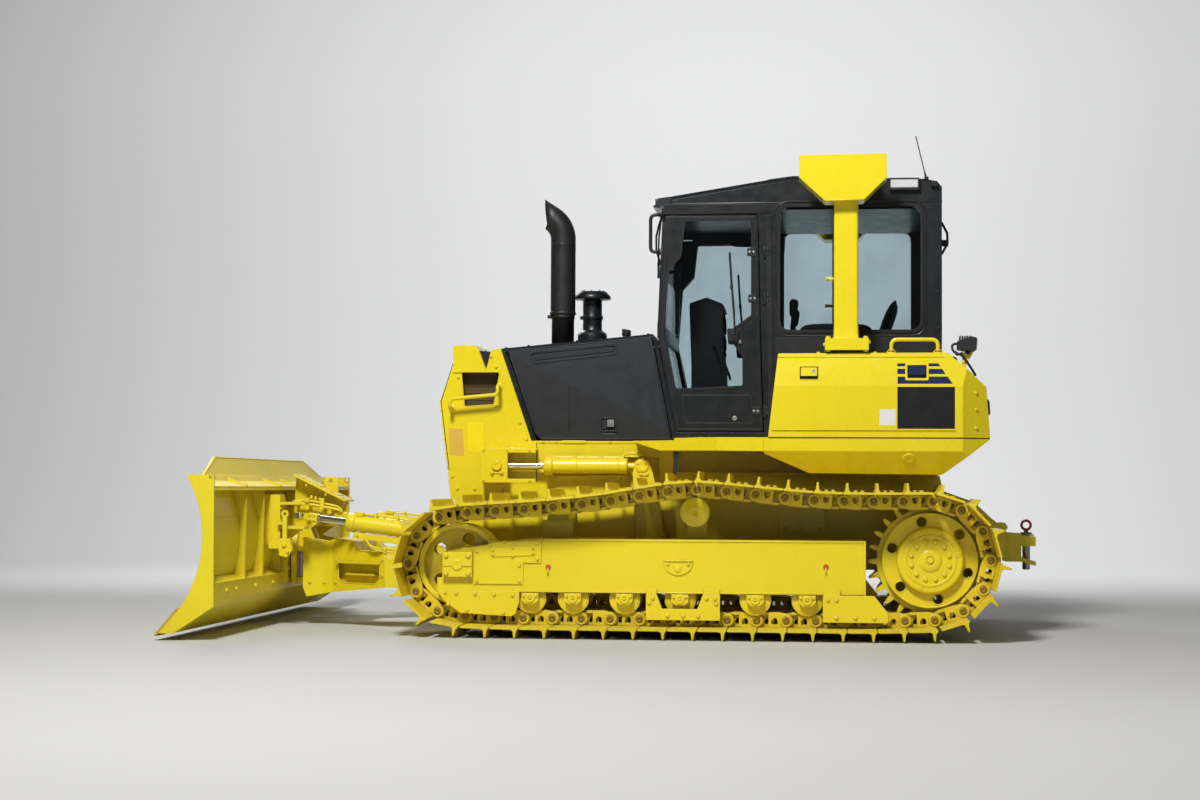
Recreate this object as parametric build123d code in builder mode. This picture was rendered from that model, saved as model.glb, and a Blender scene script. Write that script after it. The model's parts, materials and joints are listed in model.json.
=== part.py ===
from build123d import *
import math
import os

os.makedirs("parts", exist_ok=True)

# Crawler bulldozer with an angling and tilting blade.
# Millimetres, +X forward, +Y to the machine's left, +Z up, Z = 0 at the grouser tips.
# Stations along the machine are measured forward of the sprocket shaft and are
# shifted by OX, so that the whole machine is centred on X = 0.

OX = -1705.0            # station of the sprocket shaft
GAUGE_HALF = 895.0      # centre of each track
SHOE_W = 700.0          # width of a track shoe
N_SHOES = 44            # shoes on each track
PIN_Z = 98.0            # height of the track pins on the ground run
GROUSER = 98.0          # pin to grouser tip
SHOE_OUT = 49.0         # pin to outer face of the shoe plate
SHOE_IN = 36.0          # pin to inner face of the shoe plate
RAIL_IN = 45.0          # pin to rail face
SPROCKET = (0.0, 427.0)
IDLER = (2553.0, 387.0)
IDLER_R = 282.0         # pin circle round the idler
CARRIER = (1262.0, 679.0)
CARRIER_R = 68.0
ROLLERS = (2155.0, 1922.0, 1641.0, 1340.0, 935.0, 656.0, 420.0)
ROLLER_Z = 210.0
FRAME_Y = 425.0         # half width of main frame and radiator guard
HOOD_Y = 400.0          # half width of the hood
CAB_Y = 650.0           # half width of the cab
BOX_Y = 1000.0          # outer face of the side boxes
HINGE = (1480.0, 400.0) # hinge of the push frame
HORN = (1590.0, 933.0)  # rear pin of the lift cylinder
LIFT_F = (2417.0, 933.0)  # front pin of the lift cylinder
LIFT_Y = 488.0
YAW_X = 3560.0          # vertical pin at the nose of the push frame
ROLL_Z = 350.0          # fore and aft pin of the blade
ANG_R = (2830.0, 482.0, 548.0)   # rear eye of the left angle cylinder
ANG_E = (3600.0, 395.0, 640.0)   # front eye of the left angle cylinder
TILT_B = (3610.0, -110.0, 768.0)  # inner eye of the tilt cylinder
TILT_E = (3610.0, -500.0, 768.0)  # outer eye of the tilt cylinder
BLADE_Y = 1675.0        # half width of the blade


def side(y):
    return Plane(origin=(OX, y, 0), x_dir=(1, 0, 0), z_dir=(0, -1, 0))


def top(z):
    return Plane(origin=(OX, 0, z), x_dir=(1, 0, 0), z_dir=(0, 0, 1))


def front(x):
    return Plane(origin=(OX + x, 0, 0), x_dir=(0, 1, 0), z_dir=(1, 0, 0))


def plate(points, y0, y1, mode=Mode.ADD, r=0.0):
    """Side outline (station, height) between two Y planes."""
    with BuildSketch(side(max(y0, y1))) as sk:
        with BuildLine():
            Polyline(*points, close=True)
        make_face()
        if r:
            fillet(sk.vertices(), r)
    extrude(sk.sketch, amount=abs(y1 - y0), mode=mode)


def plan(points, z0, z1, mode=Mode.ADD, r=0.0):
    """Top outline (station, y) between two heights."""
    with BuildSketch(top(z0)) as sk:
        with BuildLine():
            Polyline(*points, close=True)
        make_face()
        if r:
            fillet(sk.vertices(), r)
    extrude(sk.sketch, amount=z1 - z0, mode=mode)


def section(points, x0, x1, mode=Mode.ADD, r=0.0):
    """Front outline (y, height) between two stations."""
    with BuildSketch(front(x0)) as sk:
        with BuildLine():
            Polyline(*points, close=True)
        make_face()
        if r:
            fillet(sk.vertices(), r)
    extrude(sk.sketch, amount=x1 - x0, mode=mode)


def block(x0, x1, y0, y1, z0, z1, mode=Mode.ADD):
    with BuildSketch(top(z0)) as sk:
        with Locations(((x0 + x1) / 2, (y0 + y1) / 2)):
            Rectangle(abs(x1 - x0), abs(y1 - y0))
    extrude(sk.sketch, amount=z1 - z0, mode=mode)


def cyl(p, q, r, mode=Mode.ADD, hole=0.0):
    """Round bar from p to q (station, y, z)."""
    a = Vector(p[0] + OX, p[1], p[2])
    b = Vector(q[0] + OX, q[1], q[2])
    d = b - a
    xd = (0, 0, 1) if abs(d.normalized().Z) < 0.9 else (1, 0, 0)
    with BuildSketch(Plane(origin=a, x_dir=Vector(*xd).cross(d.normalized()), z_dir=d)) as sk:
        Circle(r)
        if hole:
            Circle(hole, mode=Mode.SUBTRACT)
    extrude(sk.sketch, amount=d.length, mode=mode)


def ycyl(x, z, y0, y1, r, mode=Mode.ADD, hole=0.0):
    cyl((x, min(y0, y1), z), (x, max(y0, y1), z), r, mode=mode, hole=hole)


def tube(points, r, bend):
    """Bent round tube through points (station, y, z)."""
    pts = [(p[0] + OX, p[1], p[2]) for p in points]
    with BuildLine() as ln:
        FilletPolyline(*pts, radius=bend)
    with BuildSketch(Plane(origin=ln.line @ 0, z_dir=ln.line % 0)) as sk:
        Circle(r)
    sweep(sk.sketch, path=ln.line)


def save(part, name):
    part.label = name
    export_step(part, "parts/" + name + ".step")


def unit(p, q):
    d = [b - a for a, b in zip(p, q)]
    n = math.sqrt(sum(v * v for v in d))
    return [v / n for v in d], n


def along(p, q, s):
    d, _ = unit(p, q)
    return tuple(a + v * s for a, v in zip(p, d))


# ------------------------------------------------------------------ track path
TOP_RUN = [(0.0, 0.0), (310, 742.0), (627, 749.0), (941, 777.0), (1262, 803.0),
           (1500, 776.0), (1748, 734.0), (2051, 700.0), (2367, 679.0)]


def chain_path(r_s):
    """Fine polyline of the pin path: ground run forward, idler, top run, sprocket, ground run."""
    sx, sz = SPROCKET
    ix, iz = IDLER
    pts = [(1246.0 + 104.4 * i, PIN_Z) for i in range(10)] + [(2290.0, PIN_Z)]
    for i in range(61):
        t = math.radians(-90 + 184 * i / 60)
        pts.append((ix + IDLER_R * math.cos(t), iz + IDLER_R * math.sin(t)))
    run = [pts[-1]] + list(reversed(TOP_RUN[1:])) + [(sx, sz + r_s)]
    ext = [(run[0][0] + 200, run[0][1] - 6)] + run + [(sx - 200, sz + r_s)]
    for k in range(1, len(ext) - 2):
        p0, p1, p2, p3 = ext[k - 1], ext[k], ext[k + 1], ext[k + 2]
        for i in range(1, 16):
            t = i / 16
            pts.append(tuple(0.5 * (2 * p1[j] + (p2[j] - p0[j]) * t
                                    + (2 * p0[j] - 5 * p1[j] + 4 * p2[j] - p3[j]) * t * t
                                    + (3 * p1[j] - p0[j] - 3 * p2[j] + p3[j]) * t ** 3) for j in (0, 1)))
    for i in range(61):
        t = math.radians(90 + 180 * i / 60)
        pts.append((sx + r_s * math.cos(t), sz + r_s * math.sin(t)))
    return pts + [(330.0 + 91.6 * i, PIN_Z) for i in range(10)]


def walk(path, pitch, n):
    """Chord steps of one pitch along the closed path; also tells if they pass its start."""
    out, idx, a = [path[0]], 0, path[0]
    m = len(path)
    while len(out) <= n:
        b = path[(idx + 1) % m]
        if math.dist(out[-1], b) < pitch:
            idx += 1
            a = b
            continue
        lo, hi = 0.0, 1.0
        for _ in range(40):
            mid = (lo + hi) / 2
            p = (a[0] + (b[0] - a[0]) * mid, a[1] + (b[1] - a[1]) * mid)
            if math.dist(out[-1], p) < pitch:
                lo = mid
            else:
                hi = mid
        a = (a[0] + (b[0] - a[0]) * hi, a[1] + (b[1] - a[1]) * hi)
        out.append(a)
    return out, idx >= m


def chain_pins():
    pitch = 159.5
    for _ in range(5):
        r_s = pitch / 2 / math.sin(math.radians(14.4))
        path = chain_path(r_s)
        lo, hi = 150.0, 170.0
        for _ in range(36):
            pitch = (lo + hi) / 2
            out, passed = walk(path, pitch, N_SHOES)
            if passed:
                hi = pitch
            else:
                lo = pitch
    return out[:-1], pitch, r_s


PINS, PITCH, SPROCKET_R = chain_pins()
print("pitch", round(PITCH, 3), "sprocket pin circle", round(SPROCKET_R, 2), "first", PINS[0], "last", PINS[-1])


def offset_pins(v):
    """Pin polygon moved outwards by v (negative: inwards), mitred at the pins."""
    n = len(PINS)
    res = []
    for i in range(n):
        p0, p1, p2 = PINS[i - 1], PINS[i], PINS[(i + 1) % n]
        (u1, _), (u2, _) = unit(p0, p1), unit(p1, p2)
        n1, n2 = (u1[1], -u1[0]), (u2[1], -u2[0])
        b = (n1[0] + n2[0], n1[1] + n2[1])
        k = v * 2 / (b[0] ** 2 + b[1] ** 2)
        res.append((p1[0] + b[0] * k, p1[1] + b[1] * k))
    return res


def shoe_outline():
    n = len(PINS)
    res = []
    for i in range(n):
        p, q = PINS[i], PINS[(i + 1) % n]
        u, _ = unit(p, q)
        w = (u[1], -u[0])
        for s, v in ((4, SHOE_OUT), (11, GROUSER), (18, GROUSER), (26, SHOE_OUT), (PITCH - 12, SHOE_OUT)):
            res.append((p[0] + u[0] * s + w[0] * v, p[1] + u[1] * s + w[1] * v))
    return res


# ---------------------------------------------------------------- undercarriage
with BuildPart() as left_track:
    yo, yi = GAUGE_HALF + SHOE_W / 2, GAUGE_HALF - SHOE_W / 2
    with BuildSketch(side(yo)) as shoes:
        with BuildLine():
            Polyline(*shoe_outline(), close=True)
        make_face()
        with BuildLine():
            Polyline(*offset_pins(SHOE_IN), close=True)
        make_face(mode=Mode.SUBTRACT)
    extrude(shoes.sketch, amount=SHOE_W)
    for y1 in (GAUGE_HALF + 98, GAUGE_HALF - 58):
        with BuildSketch(side(y1)) as rail:
            with BuildLine():
                Polyline(*offset_pins(SHOE_IN + 1), close=True)
            make_face()
            with BuildLine():
                Polyline(*offset_pins(-RAIL_IN), close=True)
            make_face(mode=Mode.SUBTRACT)
        extrude(rail.sketch, amount=40)
save(left_track.part, "left_track")

with BuildPart() as right_track:
    mirror(left_track.part, about=Plane.XZ)
save(right_track.part, "right_track")

with BuildPart() as left_sprocket:
    sx, sz = SPROCKET
    # toothed rim between the rails
    ycyl(sx, sz, GAUGE_HALF - 18, GAUGE_HALF + 18, SPROCKET_R - 36)
    a0 = math.degrees(math.atan2(PINS[-3][1] - sz, PINS[-3][0] - sx))
    for k in range(25):
        t = math.radians(a0 + 7.2 + 14.4 * k)
        c, s = math.cos(t), math.sin(t)
        prof = [(SPROCKET_R - 48, -18), (SPROCKET_R - 8, -12), (SPROCKET_R + 12, -7),
                (SPROCKET_R + 12, 7), (SPROCKET_R - 8, 12), (SPROCKET_R - 48, 18)]
        plate([(sx + u * c - v * s, sz + u * s + v * c) for u, v in prof], GAUGE_HALF - 16, GAUGE_HALF + 16)
    # dished disc with its holes, and the bolted cover
    ycyl(sx, sz, GAUGE_HALF + 18, GAUGE_HALF + 60, 256)
    for k in range(6):
        t = math.radians(78 + 60 * k)
        ycyl(sx + 212 * math.cos(t), sz + 212 * math.sin(t), GAUGE_HALF - 40, GAUGE_HALF + 80, 27, mode=Mode.SUBTRACT)
    ycyl(sx, sz, GAUGE_HALF + 60, GAUGE_HALF + 104, 178)
    fillet(left_sprocket.edges().filter_by(GeomType.CIRCLE).filter_by(lambda e: abs(e.radius - 178) < 1).sort_by(Axis.Y)[-1:], 16)
    # final drive case, inboard
    ycyl(sx, sz, FRAME_Y, 640, 150)
    ycyl(sx, sz, 640, GAUGE_HALF - 18, 185)
save(left_sprocket.part, "left_sprocket")

with BuildPart() as right_sprocket:
    mirror(left_sprocket.part, about=Plane.XZ)
save(right_sprocket.part, "right_sprocket")

with BuildPart() as left_idler:
    ix, iz = IDLER
    ycyl(ix, iz, GAUGE_HALF - 98, GAUGE_HALF + 98, IDLER_R - RAIL_IN - 12.5)
    # dished sides between rim and hub, with openings
    ycyl(ix, iz, GAUGE_HALF + 40, GAUGE_HALF + 99, 196, mode=Mode.SUBTRACT)
    ycyl(ix, iz, GAUGE_HALF - 99, GAUGE_HALF - 40, 196, mode=Mode.SUBTRACT)
    for k in range(5):
        t = math.radians(35 + 72 * k)
        ycyl(ix + 142 * math.cos(t), iz + 142 * math.sin(t), GAUGE_HALF - 45, GAUGE_HALF + 45, 34, mode=Mode.SUBTRACT)
    ycyl(ix, iz, GAUGE_HALF - 110, GAUGE_HALF + 110, 70)
    ycyl(ix, iz, 742, 1060, 36)
    # bearing block outside the yoke
    block(ix - 82, ix + 80, 1040, 1072, iz - 66, iz + 70)
save(left_idler.part, "left_idler")

with BuildPart() as right_idler:
    mirror(left_idler.part, about=Plane.XZ)
save(right_idler.part, "right_idler")

with BuildPart() as left_rollers:
    for x in ROLLERS:
        ycyl(x, ROLLER_Z, GAUGE_HALF - 96, GAUGE_HALF + 96, 66)
        ycyl(x, ROLLER_Z, GAUGE_HALF + 100, GAUGE_HALF + 116, 85)
        ycyl(x, ROLLER_Z, GAUGE_HALF - 116, GAUGE_HALF - 100, 85)
        ycyl(x, ROLLER_Z, 752, 1050, 26)
        plate([(x - 46, 237), (x - 46, 196), (x - 22, 178), (x + 22, 178), (x + 46, 196), (x + 46, 237)], 1019, 1050)
        plate([(x - 46, 237), (x - 46, 196), (x - 22, 178), (x + 22, 178), (x + 46, 196), (x + 46, 237)], 750, 771)
    # upper roller on its bracket
    cx, cz = CARRIER
    ycyl(cx, cz, GAUGE_HALF - 96, GAUGE_HALF + 96, CARRIER_R)
    ycyl(cx, cz, GAUGE_HALF + 100, GAUGE_HALF + 114, CARRIER_R + 12)
    ycyl(cx, cz, 700, GAUGE_HALF + 100, 28)
    plate([(cx - 60, 531), (cx + 60, 531), (cx + 45, cz + 35), (cx - 45, cz + 35)], 752, 786)
save(left_rollers.part, "left_rollers")

with BuildPart() as right_rollers:
    mirror(left_rollers.part, about=Plane.XZ)
save(right_rollers.part, "right_rollers")

with BuildPart() as left_track_frame:
    plate([(344, 531), (344, 239), (2666, 240), (2666, 316), (2636, 318), (2630, 460), (2387, 500),
           (2387, 517), (2289, 519), (2097, 531)], 750, 1040)
    # open below for the rollers, and between the yoke arms for the idler
    block(330, 2700, 772, 1018, 230, 330, mode=Mode.SUBTRACT)
    block(2230, 2700, 772, 1018, 230, 560, mode=Mode.SUBTRACT)
    ycyl(IDLER[0], IDLER[1], 740, 1050, 37, mode=Mode.SUBTRACT)
    # doubler plate at the yoke
    plate([(2466, 283), (2193, 283), (2193, 399), (2095, 399), (2095, 524), (2387, 508), (2387, 496), (2466, 482)],
          1040, 1046)
    # roller guards
    plate([(2666, 244), (2631, 194), (2537, 125), (2257, 109), (2235, 123), (2214, 190), (2214, 244)], 1030, 1046)
    plate([(1522, 239), (1522, 99), (1123, 99), (1123, 239), (1215, 239), (1245, 160), (1435, 160), (1465, 239)], 1052, 1068)
    block(1126, 1214, 1040, 1053, 180, 264)
    block(1466, 1519, 1040, 1053, 180, 264)
    plate([(573, 239), (573, 95), (228, 95), (228, 150), (300, 239)], 1052, 1068)
    block(480, 570, 1040, 1053, 180, 264)
    # saddle of the equalizer bar
    block(1950, 2120, 700, 790, 531, 629)
    block(1950, 2120, 700, 752, 480, 540)
save(left_track_frame.part, "left_track_frame")

with BuildPart() as right_track_frame:
    mirror(left_track_frame.part, about=Plane.XZ)
save(right_track_frame.part, "right_track_frame")

with BuildPart() as cross_shafts:
    for s in (1, -1):
        ycyl(500, 420, s * FRAME_Y, s * 750, 62)
        ycyl(500, 420, s * 560, s * 750, 84)
save(cross_shafts.part, "pivot_shafts")

with BuildPart() as equalizer_bar:
    section([(-780, 629), (780, 629), (780, 668), (440, 700), (-440, 700), (-780, 668)], 1975, 2095)
save(equalizer_bar.part, "equalizer_bar")

# -------------------------------------------------------------------- main body
with BuildPart() as main_frame:
    plate([(-420, 400), (-250, 366), (2350, 366), (2640, 520), (2680, 742), (2195, 742), (2195, 1076), (1420, 1076), (1420, 885),
           (-80, 885), (-100, 800), (-270, 740), (-420, 600)], -FRAME_Y, FRAME_Y)
    # engine bay
    block(1450, 2400, -330, 330, 386, 1100, mode=Mode.SUBTRACT)
    block(2400, 2560, -330, 330, 420, 760, mode=Mode.SUBTRACT)
    # recess behind the lift cylinders
    plate([(1500, 884), (2150, 884), (2150, 984), (1500, 984)], 395, 470, mode=Mode.SUBTRACT)
    plate([(1500, 884), (2150, 884), (2150, 984), (1500, 984)], -470, -395, mode=Mode.SUBTRACT)
    # slot of the equalizer bar
    block(1970, 2100, -FRAME_Y, FRAME_Y, 622, 706, mode=Mode.SUBTRACT)
    # push frame hinges
    for s in (1, -1):
        ycyl(HINGE[0], HINGE[1], s * FRAME_Y, s * 446, 88)
        ycyl(HINGE[0], HINGE[1], s * 446, s * 538, 35)
save(main_frame.part, "main_frame")

with BuildPart() as belly_guard:
    block(-200, 2300, -395, 395, 354, 366)
    block(2300, 2352, -395, 395, 360, 366)
save(belly_guard.part, "belly_guard")

GUARD = [(2694, 1600), (2690, 1616), (2552, 1622), (2499, 1484), (2468, 1599), (2416, 1607), (2234, 1076),
         (2195, 1076), (2195, 742), (2699, 742), (2717, 906), (2761, 1249), (2767, 1301), (2687, 1519)]
with BuildPart() as radiator_guard:
    plate(GUARD, -FRAME_Y, FRAME_Y)
    # hollow inside, open to the rear, the front, above the notch and below
    plate([(2668, 1515), (2672, 1598), (2562, 1604), (2511, 1474), (2488, 1474), (2457, 1582), (2428, 1590), (2250, 1077),
           (2150, 1077), (2150, 730), (2680, 730), (2698, 906), (2742, 1249), (2748, 1301)],
          -FRAME_Y + 16, FRAME_Y - 16, mode=Mode.SUBTRACT)
    block(2150, 2440, -FRAME_Y + 40, FRAME_Y - 40, 730, 1560, mode=Mode.SUBTRACT)
    # front opening for the grille
    block(2600, 2800, -362, 362, 800, 1262, mode=Mode.SUBTRACT)
    # vent window in each side
    plate([(2641, 1467), (2421, 1467), (2454, 1284), (2622, 1273)], -FRAME_Y - 2, FRAME_Y + 2, mode=Mode.SUBTRACT, r=8)
    # pockets at the front pins of the lift cylinders
    for s in (1, -1):
        plate([(2510, 836), (2510, 1012), (2492, 1030), (2195, 1030), (2195, 1006), (2356, 1006), (2356, 858), (2195, 858),
               (2195, 836)], s * 516, s * 530)
        plate([(2510, 836), (2510, 1012), (2494, 1028), (2496, 836)], s * FRAME_Y, s * 516)
        block(2195, 2496, s * FRAME_Y, s * 516, 1020, 1030)
        block(2370, 2498, s * FRAME_Y, s * 516, 836, 846)
        ycyl(LIFT_F[0], LIFT_F[1], s * FRAME_Y, s * 545, 20)
        block(2389, 2445, s * 530, s * 538, 921, 945)
save(radiator_guard.part, "radiator_guard")

with BuildPart() as radiator_grille:
    plate([(2689, 802), (2703, 802), (2757, 1260), (2743, 1260)], -360, 360)
    for k in range(15):
        z = 828 + 29 * k
        for y in (-236, 0, 236):
            block(2600, 2800, y - 105, y + 105, z, z + 15, mode=Mode.SUBTRACT)
save(radiator_grille.part, "radiator_grille")

with BuildPart() as radiator_core:
    block(2570, 2640, -345, 345, 770, 1440)
save(radiator_core.part, "radiator_core")

with BuildPart() as engine_block:
    block(1500, 2380, -300, 300, 720, 1440)
save(engine_block.part, "engine_block")


def hood_z(x):
    return 1608 + (2414 - x) * (1691 - 1608) / (2414 - 1544)


with BuildPart() as hood_top:
    # roof panel with a fixed hoop ahead of the cab
    plate([(2400, hood_z(2400) - 20), (2414, hood_z(2414)), (1544, hood_z(1544)), (1516, 1653), (1516, 1632), (1546, hood_z(1546) - 20)],
          -HOOD_Y, HOOD_Y)
    hoop = [(1516, 1653), (1544, hood_z(1544)), (1542, 1672), (1425, 1076), (1400, 1076), (1400, 1100)]
    plate(hoop, HOOD_Y - 18, HOOD_Y)
    plate(hoop, -HOOD_Y, -HOOD_Y + 18)
    plate([(2400, hood_z(2400) - 10), (2414, hood_z(2414)), (2230, 1076), (2208, 1076), (2372, 1560)], HOOD_Y - 18, HOOD_Y)
    plate([(2400, hood_z(2400) - 10), (2414, hood_z(2414)), (2230, 1076), (2208, 1076), (2372, 1560)], -HOOD_Y, -HOOD_Y + 18)
    # filler cap
    cyl((1723, 50, 1660), (1723, 50, 1731), 21)
    edges = hood_top.edges().filter_by(lambda e: e.length > 800 and abs(abs(e.center().Y) - HOOD_Y) < 1 and e.center().Z > 1600)
    chamfer(edges.sort_by(Axis.Z)[-2:], 17)
save(hood_top.part, "hood_top")

COVER = [(1548, hood_z(1548) - 23), (2374, hood_z(2374) - 23), (2217, 1120), (2180, 1082), (1432, 1082)]
with BuildPart() as left_engine_cover:
    plate(COVER, HOOD_Y - 18, HOOD_Y)
    # long grip recess and latch
    plate([(2256, 1583), (1750, 1632), (1754, 1578), (2222, 1527)], HOOD_Y - 6, HOOD_Y + 1, mode=Mode.SUBTRACT, r=10)
    block(1750, 1836, HOOD_Y, HOOD_Y + 8, 1136, 1206)
save(left_engine_cover.part, "left_engine_cover")

with BuildPart() as right_engine_cover:
    mirror(left_engine_cover.part, about=Plane.XZ)
save(right_engine_cover.part, "right_engine_cover")

with BuildPart() as exhaust_pipe:
    with BuildLine(Plane(origin=(OX, 100, 0), x_dir=(1, 0, 0), z_dir=(0, -1, 0))) as bend:
        Line((2094, 1646), (2094, 2352))
        CenterArc((2220, 2352), 126, 180, -74)
    with BuildSketch(Plane(origin=(OX + 2094, 100, 1646), z_dir=(0, 0, 1))) as pipe:
        Circle(73)
    sweep(pipe.sketch, path=bend.line)
    with BuildSketch(Plane(origin=(OX + 2094, 100, 1646), z_dir=(0, 0, 1))) as bore:
        Circle(68)
    sweep(bore.sketch, path=bend.line, mode=Mode.SUBTRACT)
    cyl((2094, 100, 1646), (2094, 100, 1828), 72)
    cyl((2094, 100, 1822), (2094, 100, 1838), 80)
save(exhaust_pipe.part, "exhaust_pipe")

with BuildPart() as pre_cleaner:
    x, y = 1940, -100
    z0 = hood_z(1940) + 10
    cyl((x, y, z0), (x, y, 1772), 97)
    cyl((x, y, 1772), (x, y, 1915), 57)
    cyl((x, y, 1915), (x, y, 1950), 108)
    with Locations((x + OX, y, 1950)):
        Cone(108, 80, 38, align=(Align.CENTER, Align.CENTER, Align.MIN))
save(pre_cleaner.part, "pre_cleaner")

with BuildPart() as floor_deck:
    # step beside the cab, narrowing to the front
    plate([(880, 1012), (1476, 1018), (1632, 1066), (1632, 1074), (1392, 1074), (1392, 1087), (880, 1087)], -970, 970)
    plan([(880, 970), (1150, 970), (1480, 700), (1640, 600), (1640, -600), (1480, -700), (1150, -970), (880, -970)], 1000, 1100,
         mode=Mode.INTERSECT)
    # deck under the side boxes: its lower sides lean in and its rear corners are bevelled
    plate([(-325, 1080), (-192, 979), (-69, 889), (649, 895), (892, 1000), (892, 1087), (-325, 1087)], -998, 998)
    for s in (1, -1):
        section([(s * 999, 1015), (s * 900, 880), (s * 1010, 880), (s * 1010, 1015)], -400, 893, mode=Mode.SUBTRACT)
        plan([(-173, s * 1010), (-173, s * 998), (-340, s * 880), (-340, s * 1010)], 870, 1100, mode=Mode.SUBTRACT)
    block(1396, 1640, -HOOD_Y - 2, HOOD_Y + 2, 1071, 1090, mode=Mode.SUBTRACT)
    block(1415, 1640, -FRAME_Y - 2, FRAME_Y + 2, 1000, 1090, mode=Mode.SUBTRACT)
    block(-69, 1400, -FRAME_Y, FRAME_Y, 885, 900)
    # housing between the frame and the cab floor
    block(640, 1398, -300, 300, 890, 1030)
save(floor_deck.part, "floor_deck")

with BuildPart() as left_side_box:
    plate([(816, 1543), (-94, 1547), (-305, 1364), (-326, 1087), (869, 1087)], 656, BOX_Y)
    # upper face leans in, rear corner is bevelled
    section([(BOX_Y - 36, 1560), (BOX_Y + 20, 1560), (BOX_Y + 20, 1364), (BOX_Y, 1364)], -400, 900, mode=Mode.SUBTRACT)
    plan([(-173, BOX_Y + 10), (-173, BOX_Y), (-340, 880), (-340, BOX_Y + 10)], 1080, 1560, mode=Mode.SUBTRACT)
    fillet(left_side_box.edges().filter_by(Axis.Y).sort_by(Axis.Z)[-3:], 12)
save(left_side_box.part, "left_side_box")

with BuildPart() as right_side_box:
    mirror(left_side_box.part, about=Plane.XZ)
save(right_side_box.part, "right_side_box")

with BuildPart() as fuel_tank:
    plate([(-88, 1087), (-88, 1543), (-94, 1547), (-305, 1364), (-326, 1087)], -655, 655)
save(fuel_tank.part, "fuel_tank")

with BuildPart() as rops_frame:
    for s in (1, -1):
        with BuildSketch(top(1600)) as post:
            with Locations((449, s * 904)):
                RectangleRounded(132, 124, 16)
        extrude(post.sketch, amount=800)
        block(327, 563, s * 826, s * 990, 1560, 1624)
        plate([(704, 2614), (232, 2620), (232, 2490), (355, 2369), (564, 2365), (704, 2494)], s * 846, s * 1030)
    block(300, 640, -850, 850, 2572, 2616)
save(rops_frame.part, "rops_frame")

with BuildPart() as rops_mounts:
    for s in (1, -1):
        block(325, 560, s * 830, s * 962, 1547.5, 1560)
save(rops_mounts.part, "rops_mounts")

# --------------------------------------------------------------------------- cab
CAB = [(-70, 1087), (-82, 1640), (-82, 2400), (1462, 2400), (1473, 2323), (1499, 1683), (1385, 1087)]
CAB_IN = [(-30, 1127), (-42, 1640), (-42, 2400), (1424, 2400), (1434, 2323), (1459, 1686), (1349, 1127)]
DOOR = [(1455, 2336), (1486, 1684), (1386, 1128), (905, 1128), (925, 1700), (940, 2336)]
with BuildPart() as cab_shell:
    plate(CAB, -CAB_Y, CAB_Y)
    plate(CAB_IN, -CAB_Y + 40, CAB_Y - 40, mode=Mode.SUBTRACT)
    # doorways: the door covers the whole side ahead of the middle post
    for s in (1, -1):
        plate([(1560, 2342), (1560, 1122), (898, 1122), (918, 1700), (933, 2342)], s * (CAB_Y - 40), s * (CAB_Y + 5), mode=Mode.SUBTRACT)
        # rear side window
        plate([(813, 2402 - 20), (34, 2382), (34, 1691), (813, 1691)], s * (CAB_Y - 50), s * (CAB_Y + 5), mode=Mode.SUBTRACT, r=60)
    # windscreen, in two halves beside the middle bar, and lower front panes
    section([(-560, 1720), (560, 1720), (560, 2320), (-560, 2320)], 1420, 1560, mode=Mode.SUBTRACT, r=40)
    section([(-560, 1260), (560, 1260), (560, 1640), (-560, 1640)], 1300, 1560, mode=Mode.SUBTRACT, r=40)
    # rear window
    section([(-540, 1640), (540, 1640), (540, 2330), (-540, 2330)], -120, 0, mode=Mode.SUBTRACT, r=40)
save(cab_shell.part, "cab_shell")

with BuildPart() as cab_roof:
    plate([(-84, 2401), (-84, 2490), (-55, 2525), (13, 2540), (731, 2561), (874, 2542), (1420, 2453), (1480, 2432), (1492, 2401)], -622, 622)
    edges = cab_roof.edges().filter_by(lambda e: e.length > 250 and abs(abs(e.center().Y) - 622) < 1 and e.center().Z > 2440)
    chamfer(edges, 24)
save(cab_roof.part, "cab_roof")


with BuildPart() as cab_glass2:
    # each pane fills its opening up to the seal
    section([(-559, 1721), (559, 1721), (559, 2319), (-559, 2319)], 1380, 1540, r=39.5)
    plate([(1474.5, 1683), (1457, 2340), (1451, 2340), (1468.5, 1683)], -700, 700, mode=Mode.INTERSECT)
with BuildPart() as cab_glass3:
    section([(-559, 1261), (559, 1261), (559, 1639), (-559, 1639)], 1300, 1540, r=39.5)
    plate([(1471, 1655), (1391, 1245), (1385, 1245), (1465, 1655)], -700, 700, mode=Mode.INTERSECT)
with BuildPart() as cab_panes:
    add(cab_glass2.part)
    add(cab_glass3.part)
    section([(-539, 1641), (539, 1641), (539, 2329), (-539, 2329)], -66, -60, r=39.5)
    for s in (1, -1):
        plate([(812, 2381), (35, 2381), (35, 1692), (812, 1692)], s * 626, s * 632, r=59.5)
save(cab_panes.part, "cab_glass")

DOOR_WIN = [(1344, 2308), (971, 2311), (970, 1776), (1083, 1693), (1081, 1634), (1018, 1542), (1017, 1380),
            (1393, 1363), (1462, 1682), (1436, 2031), (1366, 2109)]
with BuildPart() as left_door:
    plate(DOOR, CAB_Y - 34, CAB_Y)
    plate(DOOR_WIN, CAB_Y - 40, CAB_Y + 5, mode=Mode.SUBTRACT, r=18)
    # handle
    block(1040, 1092, CAB_Y, CAB_Y + 22, 1626, 1690)
save(left_door.part, "left_door")

with BuildPart() as right_door:
    mirror(left_door.part, about=Plane.XZ)
save(right_door.part, "right_door")


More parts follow.
